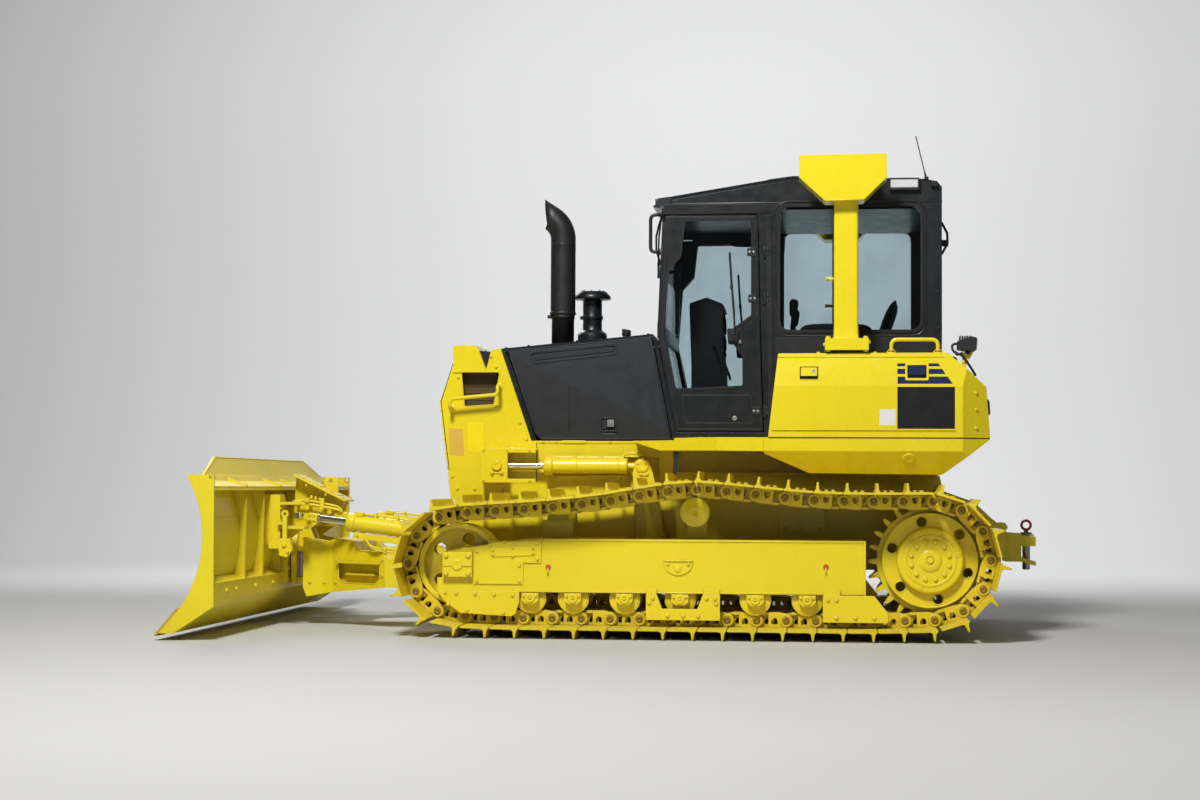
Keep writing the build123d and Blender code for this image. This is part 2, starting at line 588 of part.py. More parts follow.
def inset(points, d):
    """Outline moved inwards by d; the points run anticlockwise or clockwise alike."""
    n = len(points)
    area = sum(points[i - 1][0] * points[i][1] - points[i][0] * points[i - 1][1] for i in range(n))
    s = d if area > 0 else -d
    res = []
    for i in range(n):
        (u1, _), (u2, _) = unit(points[i - 1], points[i]), unit(points[i], points[(i + 1) % n])
        n1, n2 = (-u1[1], u1[0]), (-u2[1], u2[0])
        b = (n1[0] + n2[0], n1[1] + n2[1])
        k = s * 2 / (b[0] ** 2 + b[1] ** 2)
        res.append((points[i][0] + b[0] * k, points[i][1] + b[1] * k))
    return res


with BuildPart() as left_door_glass:
    plate(inset(DOOR_WIN, 0.6), CAB_Y - 18, CAB_Y - 12, r=17)
save(left_door_glass.part, "left_door_glass")

with BuildPart() as right_door_glass:
    mirror(left_door_glass.part, about=Plane.XZ)
save(right_door_glass.part, "right_door_glass")

with BuildPart() as operator_seat:
    block(230, 710, -230, 230, 1430, 1530)
    plate([(310, 1520), (190, 1520), (125, 1900), (225, 1912)], -220, 220)
    block(300, 620, -170, 170, 1127, 1430)
    fillet(operator_seat.edges().filter_by(Axis.Z).filter_by(lambda e: e.length > 90 and e.center().X > 700 + OX), 40)
save(operator_seat.part, "operator_seat")

with BuildPart() as control_console:
    block(1140, 1330, -300, 300, 1127, 1520)
    plate([(1150, 1500), (1330, 1500), (1345, 1880), (1240, 1915), (1150, 1860)], -200, 200)
    for s in (1, -1):
        block(330, 820, s * 300, s * 440, 1127, 1640)
        block(300, 700, s * 330, s * 410, 1700, 1750)
        block(420, 480, s * 340, s * 400, 1630, 1710)
        cyl((760, s * 370, 1630), (740, s * 370, 1830), 12)
        cyl((742, s * 370, 1800), (735, s * 370, 1890), 26)
save(control_console.part, "control_console")

# ---------------------------------------------------------------- rails and lamps
with BuildPart() as handrails:
    for s in (1, -1):
        # bar across the guard
        tube([(2695, s * (FRAME_Y + 0), 1262), (2695, s * 505, 1262), (2695, s * 505, 1312), (2420, s * 505, 1338), (2420, s * 505, 1385),
              (2420, s * FRAME_Y, 1385)], 11, 22)
        # hand grip on the side box
        tube([(205, s * 930, 1547), (205, s * 930, 1620), (-45, s * 930, 1620), (-45, s * 930, 1547)], 11, 36)
        # grab loop ahead of the cab corner
        tube([(1474, s * 585, 2350), (1542, s * 585, 2350), (1542, s * 585, 2140), (1485.5, s * 585, 2140)], 10, 30)
save(handrails.part, "handrails")

with BuildPart() as work_lamps:
    for s in (1, -1):
        block(-254, -150, s * 840, s * 960, 1556, 1640)
        plate([(-190, 1466), (-175, 1479), (-175, 1560), (-190, 1560)], s * 880, s * 920)
        block(41, 209, s * 622, s * 650, 2470, 2540)
    for s in (1, -1):
        block(1492, 1535, s * 330, s * 430, 2402, 2462)
save(work_lamps.part, "work_lamps")

with BuildPart() as antenna:
    cyl((-5, 500, 2548), (55, 500, 2795), 3)
    cyl((-5, 500, 2539.5), (-4, 500, 2564), 12)
save(antenna.part, "antenna")

with BuildPart() as hitch:
    block(-470, -420, -150, 150, 420, 620)
    block(-560, -470, -110, 110, 398, 560)
    plate([(-545, 548), (-646, 540), (-646, 486), (-545, 486)], -65, 65)
    plate([(-545, 402), (-646, 372), (-646, 398), (-545, 430)], -65, 65)
    cyl((-597, 0, 560), (-597, 0, 350), 22.05, mode=Mode.SUBTRACT)
save(hitch.part, "hitch")

with BuildPart() as hitch_pin:
    cyl((-597, 0, 349), (-597, 0, 575), 22)
    with BuildLine(Plane(origin=(OX - 597, 0, 606), x_dir=(1, 0, 0), z_dir=(0, -1, 0))) as loop:
        CenterArc((0, 0), 26, 0, 360)
    with BuildSketch(Plane(origin=(OX - 597 + 26, 0, 606), z_dir=(0, 0, 1))) as loop_s:
        Circle(8)
    sweep(loop_s.sketch, path=loop.line)
save(hitch_pin.part, "hitch_pin")

# ------------------------------------------------------------------- push frame
# hand and foot pocket in each cheek of the push frame
with BuildPart() as cheek_pocket:
    for s in (1, -1):
        plan([(3033, s * 494), (3393, s * 226), (3453, s * 306), (3093, s * 574)], 200, 400)
    plate([(3090, 362), (3380, 362), (3380, 276), (3352, 250), (3122, 250), (3090, 280)], -600, 600, mode=Mode.INTERSECT)

with BuildPart() as c_frame:
    # converging front box
    plan([(2880, 530), (3060, 530), (3420, 262), (3480, 245), (3601, 245), (3601, 215), (3440, 215), (3440, -215), (3601, -215),
          (3601, -245), (3480, -245), (3420, -262), (3060, -530), (2880, -530), (2880, -452), (3010, -452), (3270, -260),
          (3270, 260), (3010, 452), (2880, 452)], 160, 515)
    plate([(2870, 235), (3054, 234), (3414, 195), (3579, 165), (3601, 220), (3601, 511), (3538, 497), (3470, 485), (3399, 506),
           (3275, 493), (3239, 441), (3056, 431), (2870, 431)], -560, 560, mode=Mode.INTERSECT)
    for s in (1, -1):
        arm = [(HINGE[0] - 40, 330), (1650, 292), (2060, 232), (2890, 235), (2890, 431), (2600, 412), (2300, 385), (1960, 374),
               (1700, 420), (1560, 470)]
        plate(arm, s * 452, s * 530)
        ycyl(HINGE[0], HINGE[1], s * 452, s * 530, 82)
        # lift horn: two plates with the cylinder eye between them
        horn = [(1440, 440), (1620, 430), (1640, 900), (1628, 960), (1590, 981), (1552, 960), (1530, 900)]
        plate(horn, s * 452, s * 464)
        plate(horn, s * 512, s * 530)
        plate([(1440, 440), (1620, 430), (1634, 760), (1500, 760)], s * 452, s * 530)
        # rear lugs of the angle cylinder
        block(2776, 2868, s * 452, s * 530, 420, 488)
        cyl((ANG_R[0], s * ANG_R[1], 486), (ANG_R[0], s * ANG_R[1], 516), 34)
    for s in (1, -1):
        ycyl(HINGE[0], HINGE[1], s * 440, s * 545, 35.05, mode=Mode.SUBTRACT)
        ycyl(HORN[0], HORN[1], s * 455, s * 536, 22)
    # tongue with the eye of the vertical pin
    add(cheek_pocket.part, mode=Mode.SUBTRACT)
    block(3400, YAW_X, -100, 100, 282, 420)
    cyl((YAW_X, 0, 282), (YAW_X, 0, 420), 100)
    cyl((YAW_X, 0, 200), (YAW_X, 0, 500), 40.05, mode=Mode.SUBTRACT)
save(c_frame.part, "c_frame")


def barrel(p, q, gland, r, r_rod, eye_r, eye_w, axis, bore, start):
    """Cylinder barrel with its rear eye at p, its body from start to gland on the way to q."""
    cyl(p, along(p, q, start + 4), min(eye_w / 2, r) - 1)
    cyl(along(p, q, start), along(p, q, gland), r)
    cyl(along(p, q, gland - 42), along(p, q, gland), r + 7)
    a = tuple(v - eye_w / 2 * k for v, k in zip(p, axis))
    b = tuple(v + eye_w / 2 * k for v, k in zip(p, axis))
    cyl(a, b, eye_r)
    if bore:
        cyl(a, b, bore, mode=Mode.SUBTRACT)
    cyl(along(p, q, start + 12), along(p, q, gland + 5), r_rod + 0.6, mode=Mode.SUBTRACT)


for s, side_name in ((1, "left"), (-1, "right")):
    R3 = (HORN[0], s * LIFT_Y, HORN[1])
    F3 = (LIFT_F[0], s * LIFT_Y, LIFT_F[1])
    with BuildPart() as lift_barrel:
        barrel(R3, F3, 555, 43, 20, 46, 40, (0, 1, 0), 22.05, 86)
        # feed pipe above the barrel and its end block
        cyl((1700, s * LIFT_Y, 980), (2096, s * LIFT_Y, 980), 8)
        block(1694, 1718, s * (LIFT_Y - 12), s * (LIFT_Y + 12), 960, 986)
        block(2084, 2104, s * (LIFT_Y - 12), s * (LIFT_Y + 12), 960, 986)
    save(lift_barrel.part, side_name + "_lift_barrel")
    with BuildPart() as lift_rod:
        cyl(along(R3, F3, 240), along(R3, F3, 800), 20)
        ycyl(LIFT_F[0], LIFT_F[1], s * (LIFT_Y - 20), s * (LIFT_Y + 20), 58)
        ycyl(LIFT_F[0], LIFT_F[1], s * (LIFT_Y - 30), s * (LIFT_Y + 30), 41, mode=Mode.SUBTRACT)
    save(lift_rod.part, side_name + "_lift_rod")

    A = (ANG_R[0], s * ANG_R[1], ANG_R[2])
    B = (ANG_E[0], s * ANG_E[1], ANG_E[2])
    d, length = unit(A, B)
    with BuildPart() as angle_barrel:
        barrel(A, B, 469, 46, 19, 40, 56, (0, 0, 1), 0, 50)
    save(angle_barrel.part, side_name + "_angle_barrel")
    with BuildPart() as angle_rod:
        cyl(along(A, B, 250), along(A, B, length - 60), 19)
        cyl(along(A, B, length - 135), along(A, B, length - 85), 24)
        cyl(along(A, B, length - 86), along(A, B, length - 15), 17)
        cyl((B[0], B[1], B[2] - 18), (B[0], B[1], B[2] + 18), 32)
    save(angle_rod.part, side_name + "_angle_rod")

# ------------------------------------------------------------------ blade yoke
with BuildPart() as blade_yoke:
    with BuildSketch(top(426)) as yk:
        with Locations((YAW_X, 0)):
            Circle(98)
        with Locations(((YAW_X + 3672) / 2, 0)):
            Rectangle(3672 - YAW_X, 196)
    extrude(yk.sketch, amount=32)
    with BuildSketch(top(242)) as yk2:
        with Locations((YAW_X, 0)):
            Circle(98)
        with Locations(((YAW_X + 3672) / 2, 0)):
            Rectangle(3672 - YAW_X, 196)
    extrude(yk2.sketch, amount=32)
    cyl((YAW_X, 0, 236), (YAW_X, 0, 470), 40)
    # front plate and the fore and aft pin of the blade
    section([(-130, 230), (130, 230), (130, 470), (90, 560), (-90, 560), (-130, 470)], 3668, 3700)
    cyl((3700, 0, ROLL_Z), (3756, 0, ROLL_Z), 48)
    # tower under the cover plate
    for s in (1, -1):
        plate([(3560, 458), (3700, 458), (3700, 700), (3686, 872), (3400, 734), (3400, 704), (3600, 560)], s * 50, s * 66)
    plate([(3690, 870), (3376, 719), (3371, 728), (3685, 880)], -90, 150)
    # lug of the tilt cylinder
    block(3558, 3574, TILT_B[1] - 32, -50, 735, 801)
    block(3646, 3662, TILT_B[1] - 32, -50, 735, 801)
    cyl((3558, TILT_B[1], TILT_B[2]), (3662, TILT_B[1], TILT_B[2]), 18)
    # eye on top
    plate([(3548, 800), (3548, 850), (3530, 866), (3480, 866), (3462, 850), (3462, 760)], -66, -50)
    ycyl(3505, 840, -80, -40, 14, mode=Mode.SUBTRACT)
save(blade_yoke.part, "blade_yoke")

with BuildPart() as tilt_barrel:
    barrel(TILT_B, TILT_E, 265, 34, 16, 30, 68, (1, 0, 0), 18.05, 34)
save(tilt_barrel.part, "tilt_barrel")
with BuildPart() as tilt_rod:
    cyl(along(TILT_B, TILT_E, 150), along(TILT_B, TILT_E, 366), 16)
    cyl((TILT_E[0] - 18, TILT_E[1], TILT_E[2]), (TILT_E[0] + 18, TILT_E[1], TILT_E[2]), 32)
    cyl((TILT_E[0] - 30, TILT_E[1], TILT_E[2]), (TILT_E[0] + 30, TILT_E[1], TILT_E[2]), 14)
save(tilt_rod.part, "tilt_rod")

# ------------------------------------------------------------------------ blade
BF = ((3890, 868), (3803, 500), (3925, 160))


def circle_through(a, b, c):
    """Centre and radius of the circle through three points."""
    d = 2 * (a[0] * (b[1] - c[1]) + b[0] * (c[1] - a[1]) + c[0] * (a[1] - b[1]))
    q = [p[0] ** 2 + p[1] ** 2 for p in (a, b, c)]
    x = (q[0] * (b[1] - c[1]) + q[1] * (c[1] - a[1]) + q[2] * (a[1] - b[1])) / d
    z = (q[0] * (c[0] - b[0]) + q[1] * (a[0] - c[0]) + q[2] * (b[0] - a[0])) / d
    return x, z, math.hypot(a[0] - x, a[1] - z)


BC = circle_through(*BF)
print("blade face centre and radius", [round(v, 1) for v in BC])


def face_x(z, back=0.0):
    """Station of the mouldboard face at height z, or of a line behind it."""
    return BC[0] - math.sqrt((BC[2] + back) ** 2 - (z - BC[1]) ** 2)


def arc_face(t):
    """Closed outline of the curved mouldboard plate, t thick."""
    def on(r, z):
        return (BC[0] - math.sqrt(r * r - (z - BC[1]) ** 2), z)
    r0, r1 = BC[2], BC[2] + t
    zt, zb, zm = BF[0][1], BF[2][1], 514.0
    with BuildLine() as ln:
        ThreePointArc(on(r0, zt), on(r0, zm), on(r0, zb))
        Line(on(r0, zb), on(r1, zb))
        ThreePointArc(on(r1, zb), on(r1, zm), on(r1, zt))
        Line(on(r1, zt), on(r0, zt))
    make_face(ln.edges())


# raised centre of the blade, leaning forward like the face
with BuildPart() as raised_centre:
    plate([(3873, 862), (3887, 862), (3929, 972), (3915, 972)], -1409, 1409)
    section([(-1409, 862), (1409, 862), (1040, 972), (-1040, 972)], 3800, 4000, mode=Mode.INTERSECT)

with BuildPart() as blade:
    with BuildSketch(side(BLADE_Y - 16)) as face:
        arc_face(20)
    extrude(face.sketch, amount=2 * BLADE_Y - 32)
    # upper box beam and lower beam
    plate([(face_x(842) - 10, 842), (3745, 808), (3745, 788), (face_x(788) - 10, 788)], -BLADE_Y + 16, BLADE_Y - 16)
    plate([(3745, 205), (3745, 300), (face_x(330) - 8, 330), (face_x(240) - 8, 240), (3918, 165), (3925, 160), (4005, 67.2), (3985, 42),
           (3940, 42)], -BLADE_Y + 16, BLADE_Y - 16)
    # end plates
    for s in (1, -1):
        with BuildSketch(side(max(s * BLADE_Y, s * (BLADE_Y - 16)))) as end:
            with BuildLine():
                ThreePointArc(BF[0], BF[1], BF[2])
                Polyline(BF[2], (4030, 38.2), (3955, 35), (3737, 178), (3742, 869), BF[0])
            make_face()
            with Locations((3758, 853)):
                Circle(10, mode=Mode.SUBTRACT)
        extrude(end.sketch, amount=16)
    # stiffening ribs between the beams
    for y in (205, 590, 985):
        for s in (1, -1):
            plate([(3752, 230), (3752, 800)] + [(face_x(z) - 9, z) for z in (800, 720, 640, 500, 400, 300)], s * y - 8, s * y + 8)
    # gussets on top of the upper beam
    for y in (205, 985):
        for s in (1, -1):
            plate([(face_x(864) - 10, 864), (3745, 818), (3745, 795), (face_x(800) - 10, 800)], s * y - 8, s * y + 8)
    add(raised_centre.part)
    # bracket round the fore and aft pin
    section([(-170, 240), (170, 240), (170, 420), (110, 480), (-110, 480), (-170, 420)], 3712, 3760)
    for s in (1, -1):
        plate([(3740, 240), (3740, 470)] + [(face_x(z) - 9, z) for z in (470, 400, 320, 240)], s * 110, s * 166)
    # angle cylinder brackets: two ears and the post behind them
    for s in (1, -1):
        yb = s * ANG_E[1]
        block(3545, 3745, yb - 55, yb + 55, 562, 578)
        block(3545, 3745, yb - 55, yb + 55, 702, 718)
        block(3690, 3788, yb - 55, yb + 55, 470, 760)
        plate([(3690, 470), (3690, 566), (3560, 566)], yb - 8, yb + 8)
    # tilt cylinder bracket
    for x0, x1 in ((3572, 3588), (3632, 3648)):
        block(x0, x1, TILT_E[1] - 50, TILT_E[1] + 40, 732, 804)
        cyl((x0 - 2, TILT_E[1], TILT_E[2]), (x1 + 2, TILT_E[1], TILT_E[2]), 23, mode=Mode.SUBTRACT)
    block(3572, 3830, TILT_E[1] - 64, TILT_E[1] - 48, 732, 804)
    cyl((3700, 0, ROLL_Z), (3806, 0, ROLL_Z), 48.05, mode=Mode.SUBTRACT)
save(blade.part, "blade")

with BuildPart() as cutting_edge:
    plate([(3925, 160), (3937, 168), (4056, 28), (4044, 22)], -BLADE_Y, BLADE_Y)
save(cutting_edge.part, "cutting_edge")
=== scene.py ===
import bpy, bmesh, math, json, random
from mathutils import Vector, Matrix
from mathutils.geometry import tessellate_polygon


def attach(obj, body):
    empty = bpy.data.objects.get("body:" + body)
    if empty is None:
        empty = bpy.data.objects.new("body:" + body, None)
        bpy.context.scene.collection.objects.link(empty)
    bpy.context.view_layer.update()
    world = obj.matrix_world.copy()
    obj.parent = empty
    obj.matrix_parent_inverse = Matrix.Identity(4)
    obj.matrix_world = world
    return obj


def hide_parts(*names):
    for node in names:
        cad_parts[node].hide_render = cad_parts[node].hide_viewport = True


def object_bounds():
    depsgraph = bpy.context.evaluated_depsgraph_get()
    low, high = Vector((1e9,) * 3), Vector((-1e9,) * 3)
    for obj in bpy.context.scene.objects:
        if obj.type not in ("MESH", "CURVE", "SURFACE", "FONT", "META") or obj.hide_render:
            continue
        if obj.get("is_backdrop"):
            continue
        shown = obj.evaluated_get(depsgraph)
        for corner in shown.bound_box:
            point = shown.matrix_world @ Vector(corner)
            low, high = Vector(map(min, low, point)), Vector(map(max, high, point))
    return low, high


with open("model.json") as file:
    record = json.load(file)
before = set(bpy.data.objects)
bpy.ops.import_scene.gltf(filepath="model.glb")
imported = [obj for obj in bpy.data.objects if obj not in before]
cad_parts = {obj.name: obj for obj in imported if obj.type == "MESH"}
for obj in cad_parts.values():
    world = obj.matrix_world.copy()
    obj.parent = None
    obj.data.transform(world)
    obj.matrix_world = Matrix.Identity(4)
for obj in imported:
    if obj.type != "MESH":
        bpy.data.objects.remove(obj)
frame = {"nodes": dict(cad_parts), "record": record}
CAD_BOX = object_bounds()
random.seed(7)

# ------------------------------------------------------------------ camera
cam_data = bpy.data.cameras.new("camera")
cam_data.sensor_width = 36.0
cam_data.lens = 66.3
cam = bpy.data.objects.new("camera", cam_data)
bpy.context.scene.collection.objects.link(cam)
_fw = Vector((0.09917, -0.99429, 0.03946)).normalized()
_rt = Vector((-0.99506, -0.09925, 0.0)).normalized()
_up = _rt.cross(_fw)
_r = math.radians(0.29)
_x = _rt * math.cos(_r) + _up * math.sin(_r)
_y = _up * math.cos(_r) - _rt * math.sin(_r)
cam.matrix_world = Matrix((( _x.x, _y.x, -_fw.x, -1.117), (_x.y, _y.y, -_fw.y, 12.98), (_x.z, _y.z, -_fw.z, 0.812), (0, 0, 0, 1)))
bpy.context.scene.camera = cam
sc = bpy.context.scene
sc.view_settings.view_transform = "Standard"
sc.view_settings.look = "None"
sc.view_settings.exposure = 0.0

OX = -1705.0


def S(x, y, z):
    """Station, side and height in millimetres to a point in metres."""
    return Vector(((x + OX) / 1000.0, y / 1000.0, z / 1000.0))


def hood_z(x):
    return 1608 + (2414 - x) * (1691 - 1608) / (2414 - 1544)


# ---------------------------------------------------------------- materials
def new_mat(name):
    m = bpy.data.materials.new(name)
    m.use_nodes = True
    nt = m.node_tree
    nt.nodes.clear()
    return m, nt, nt.nodes, nt.links


def nd(ns, kind, **k):
    n = ns.new(kind)
    for a, v in k.items():
        setattr(n, a, v)
    return n


def ramp(ns, lk, src, p0, p1, c0=(0, 0, 0, 1), c1=(1, 1, 1, 1)):
    r = ns.new("ShaderNodeValToRGB")
    r.color_ramp.elements[0].position = p0
    r.color_ramp.elements[1].position = p1
    r.color_ramp.elements[0].color = c0
    r.color_ramp.elements[1].color = c1
    lk.new(src, r.inputs[0])
    return r.outputs[0]


def mixc(ns, lk, fac, a, b, mode="MIX"):
    m = ns.new("ShaderNodeMix")
    m.data_type = "RGBA"
    m.blend_type = mode
    for sock, v in ((m.inputs[0], fac), (m.inputs[6], a), (m.inputs[7], b)):
        if hasattr(v, "links") or isinstance(v, bpy.types.NodeSocket):
            lk.new(v, sock)
        else:
            sock.default_value = v if not isinstance(v, tuple) or len(v) == 4 else (*v, 1)
    return m.outputs[2]


def mathn(ns, lk, op, a, b=None, clamp=False):
    m = ns.new("ShaderNodeMath")
    m.operation = op
    m.use_clamp = clamp
    for i, v in enumerate((a, b)):
        if v is None:
            continue
        if isinstance(v, bpy.types.NodeSocket):
            lk.new(v, m.inputs[i])
        else:
            m.inputs[i].default_value = v
    return m.outputs[0]


def noise(ns, lk, vec, scale, detail=4, rough=0.55, dist=0.0):
    n = ns.new("ShaderNodeTexNoise")
    n.inputs["Scale"].default_value = scale
    n.inputs["Detail"].default_value = detail
    n.inputs["Roughness"].default_value = rough
    n.inputs["Distortion"].default_value = dist
    lk.new(vec, n.inputs["Vector"])
    return n.outputs[0]


def surface(name, rgb, rough=(0.26, 0.42), metal=0.0, coat=0.0, coat_rough=0.12, vary=0.06, crevice_shade_grime=0.35, shade_grime_rgb=(0.05, 0.035, 0.02),
            dust=0.10, dust_rgb=(0.42, 0.36, 0.26), wear=0.0, wear_rgb=(0.30, 0.28, 0.25), bump=0.02, bump_scale=300.0, pits=0.0,
            bevel=0.004, streak=0.0, spec=0.5, seed=0.0, ao=0.10):
    """Painted, cast or moulded finish: colour drift, grime mixed with painted shade in crevices (from an occlusion
    mask), settled dust, worn edges, fine bump.
    """
    m, nt, ns, lk = new_mat(name)
    out = nd(ns, "ShaderNodeOutputMaterial")
    b = nd(ns, "ShaderNodeBsdfPrincipled")
    lk.new(b.outputs[0], out.inputs[0])
    tc = nd(ns, "ShaderNodeTexCoord")
    mp = nd(ns, "ShaderNodeMapping")
    mp.inputs["Location"].default_value = (seed, seed * 1.7, -seed)
    lk.new(tc.outputs["Object"], mp.inputs["Vector"])
    v = mp.outputs[0]
    geo = nd(ns, "ShaderNodeNewGeometry")
    big = noise(ns, lk, v, 1.7, 5)
    mid = noise(ns, lk, v, 14.0, 8, 0.62)
    lo = tuple(max(0.0, c * (1 - vary)) for c in rgb)
    hi = tuple(min(1.0, c * (1 + vary)) for c in rgb)
    col = mixc(ns, lk, ramp(ns, lk, big, 0.3, 0.7), lo, hi)
    if streak:
        st = nd(ns, "ShaderNodeMapping")
        st.inputs["Scale"].default_value = (22, 22, 1.1)
        lk.new(v, st.inputs["Vector"])
        sk = noise(ns, lk, st.outputs[0], 1.6, 6, 0.6)
        k = mathn(ns, lk, "MULTIPLY", ramp(ns, lk, sk, 0.52, 0.75), streak)
        col = mixc(ns, lk, k, col, tuple(c * 0.55 + g * 0.3 for c, g in zip(rgb, dust_rgb)))
    # painted shade: an ambient-occlusion mask, broken up by noise, darkens crevices and recesses towards dark brown,
    # standing for grime and for the shade there
    if crevice_shade_grime:
        a = nd(ns, "ShaderNodeAmbientOcclusion")
        a.samples = 4
        a.inputs["Distance"].default_value = ao
        occ = ramp(ns, lk, a.outputs["AO"], 0.35, 0.85, (1, 1, 1, 1), (0, 0, 0, 1))
        k = mathn(ns, lk, "MULTIPLY", occ, mathn(ns, lk, "MULTIPLY", ramp(ns, lk, mid, 0.25, 0.75), crevice_shade_grime))
        col = mixc(ns, lk, k, col, shade_grime_rgb)
    if dust:
        sp = nd(ns, "ShaderNodeSeparateXYZ")
        lk.new(geo.outputs["Normal"], sp.inputs[0])
        up = ramp(ns, lk, sp.outputs[2], 0.45, 0.95)
        k = mathn(ns, lk, "MULTIPLY", up, mathn(ns, lk, "MULTIPLY", ramp(ns, lk, mid, 0.35, 0.8), dust * 3))
        k = mathn(ns, lk, "ADD", k, mathn(ns, lk, "MULTIPLY", ramp(ns, lk, big, 0.5, 0.85), dust * 0.35), True)
        col = mixc(ns, lk, k, col, dust_rgb)
    nrm = None
    if bevel:
        bv = nd(ns, "ShaderNodeBevel", samples=4)
        bv.inputs["Radius"].default_value = bevel
        nrm = bv.outputs[0]
    if wear:
        bw = nd(ns, "ShaderNodeBevel", samples=4)
        bw.inputs["Radius"].default_value = 0.006
        dp = nd(ns, "ShaderNodeVectorMath", operation="DOT_PRODUCT")
        lk.new(bw.outputs[0], dp.inputs[0])
        lk.new(geo.outputs["Normal"], dp.inputs[1])
        e = ramp(ns, lk, dp.outputs["Value"], 0.80, 0.985, (1, 1, 1, 1), (0, 0, 0, 1))
        chip = noise(ns, lk, v, 34.0, 9, 0.7)
        k = mathn(ns, lk, "MULTIPLY", e, ramp(ns, lk, chip, 0.48, 0.60))
        k = mathn(ns, lk, "MULTIPLY", k, wear, True)
        col = mixc(ns, lk, k, col, wear_rgb)
    lk.new(col, b.inputs["Base Color"])
    r = nd(ns, "ShaderNodeMapRange")
    r.inputs["To Min"].default_value = rough[0]
    r.inputs["To Max"].default_value = rough[1]
    r.inputs["From Min"].default_value = 0.3
    r.inputs["From Max"].default_value = 0.7
    lk.new(mid, r.inputs[0])
    lk.new(r.outputs[0], b.inputs["Roughness"])
    b.inputs["Metallic"].default_value = metal
    b.inputs["Coat Weight"].default_value = coat
    b.inputs["Coat Roughness"].default_value = coat_rough
    b.inputs["Specular IOR Level"].default_value = spec
    if bump:
        fine = noise(ns, lk, v, bump_scale, 3, 0.5)
        bp = nd(ns, "ShaderNodeBump")
        bp.inputs["Strength"].default_value = bump
        bp.inputs["Distance"].default_value = 0.002
        lk.new(fine, bp.inputs["Height"])
        if pits:
            rough_n = noise(ns, lk, v, 42.0, 6, 0.7)
            b2 = nd(ns, "ShaderNodeBump")
            b2.inputs["Strength"].default_value = pits
            b2.inputs["Distance"].default_value = 0.004
            lk.new(rough_n, b2.inputs["Height"])
            if nrm is not None:
                lk.new(nrm, b2.inputs["Normal"])
            lk.new(b2.outputs[0], bp.inputs["Normal"])
        elif nrm is not None:
            lk.new(nrm, bp.inputs["Normal"])
        nrm = bp.outputs[0]
    if nrm is not None:
        lk.new(nrm, b.inputs["Normal"])
    return m


YELLOW = (0.86, 0.70, 0.012)
M = {}
M["body"] = surface("mat_body_yellow", YELLOW, (0.22, 0.34), coat=0.45, coat_rough=0.10, crevice_shade_grime=0.16, dust=0.03, streak=0.06, wear=0.25, bump=0.012)
M["frame"] = surface("mat_frame_yellow", YELLOW, (0.30, 0.48), coat=0.2, coat_rough=0.2, crevice_shade_grime=0.38, dust=0.06, streak=0.08, wear=0.6, pits=0.06, seed=3.1)
M["track"] = surface("mat_track_yellow", (0.80, 0.62, 0.012), (0.34, 0.55), coat=0.1, coat_rough=0.25, crevice_shade_grime=0.65, dust=0.12, wear=1.0, wear_rgb=(0.24, 0.21, 0.17),
                     pits=0.12, seed=6.3, vary=0.08)
M["blade"] = surface("mat_blade_yellow", YELLOW, (0.40, 0.56), coat=0.04, coat_rough=0.3, crevice_shade_grime=0.40, dust=0.02, streak=0.12, wear=0.8, pits=0.04, seed=9.2)
M["dark"] = surface("mat_dark_blue", (0.006, 0.0085, 0.011), (0.30, 0.46), coat=0.12, coat_rough=0.2, crevice_shade_grime=0.2, dust=0.02, dust_rgb=(0.16, 0.16, 0.16), vary=0.15,
                    wear=0.3, wear_rgb=(0.10, 0.11, 0.12), bump=0.03)
M["hoodside"] = surface("mat_hood_panel", (0.015, 0.021, 0.030), (0.40, 0.56), coat=0.06, coat_rough=0.3, crevice_shade_grime=0.2, dust=0.02, dust_rgb=(0.18, 0.18, 0.18), vary=0.12,
                        wear=0.3, wear_rgb=(0.12, 0.13, 0.14), bump=0.05)
M["black"] = surface("mat_black_exhaust", (0.012, 0.012, 0.013), (0.36, 0.60), crevice_shade_grime=0.2, dust=0.10, dust_rgb=(0.13, 0.12, 0.11), vary=0.3, pits=0.05, bump=0.06, bump_scale=180)
M["rubber"] = surface("mat_rubber", (0.012, 0.012, 0.013), (0.55, 0.80), crevice_shade_grime=0.2, dust=0.14, dust_rgb=(0.12, 0.11, 0.10), vary=0.25, bump=0.10, bump_scale=420, bevel=0.002, spec=0.35)
M["hose"] = surface("mat_hose_rubber", (0.014, 0.014, 0.015), (0.42, 0.62), crevice_shade_grime=0.2, dust=0.12, dust_rgb=(0.12, 0.11, 0.10), vary=0.25, bump=0.12, bump_scale=600, bevel=0.0)
M["iron"] = surface("mat_engine_iron", (0.06, 0.06, 0.06), (0.5, 0.75), metal=0.3, crevice_shade_grime=0.4, dust=0.15, vary=0.2, pits=0.25)
M["chrome"] = surface("mat_chrome", (0.78, 0.79, 0.80), (0.05, 0.14), metal=1.0, crevice_shade_grime=0.15, dust=0.02, vary=0.03, bump=0.004, bevel=0.002)
M["steel"] = surface("mat_edge_steel", (0.62, 0.44, 0.05), (0.34, 0.58), metal=0.15, crevice_shade_grime=0.5, dust=0.14, wear=1.0, wear_rgb=(0.34, 0.33, 0.31), pits=0.16, vary=0.14, streak=0.35, seed=4.4)
M["zinc"] = surface("mat_bolt_zinc", (0.42, 0.40, 0.34), (0.28, 0.48), metal=0.85, crevice_shade_grime=0.35, dust=0.08, vary=0.12, bump=0.03, bevel=0.0015)
M["pin"] = surface("mat_pin_steel", (0.34, 0.33, 0.31), (0.28, 0.46), metal=0.9, crevice_shade_grime=0.35, dust=0.05, vary=0.12, bump=0.02, bevel=0.002)
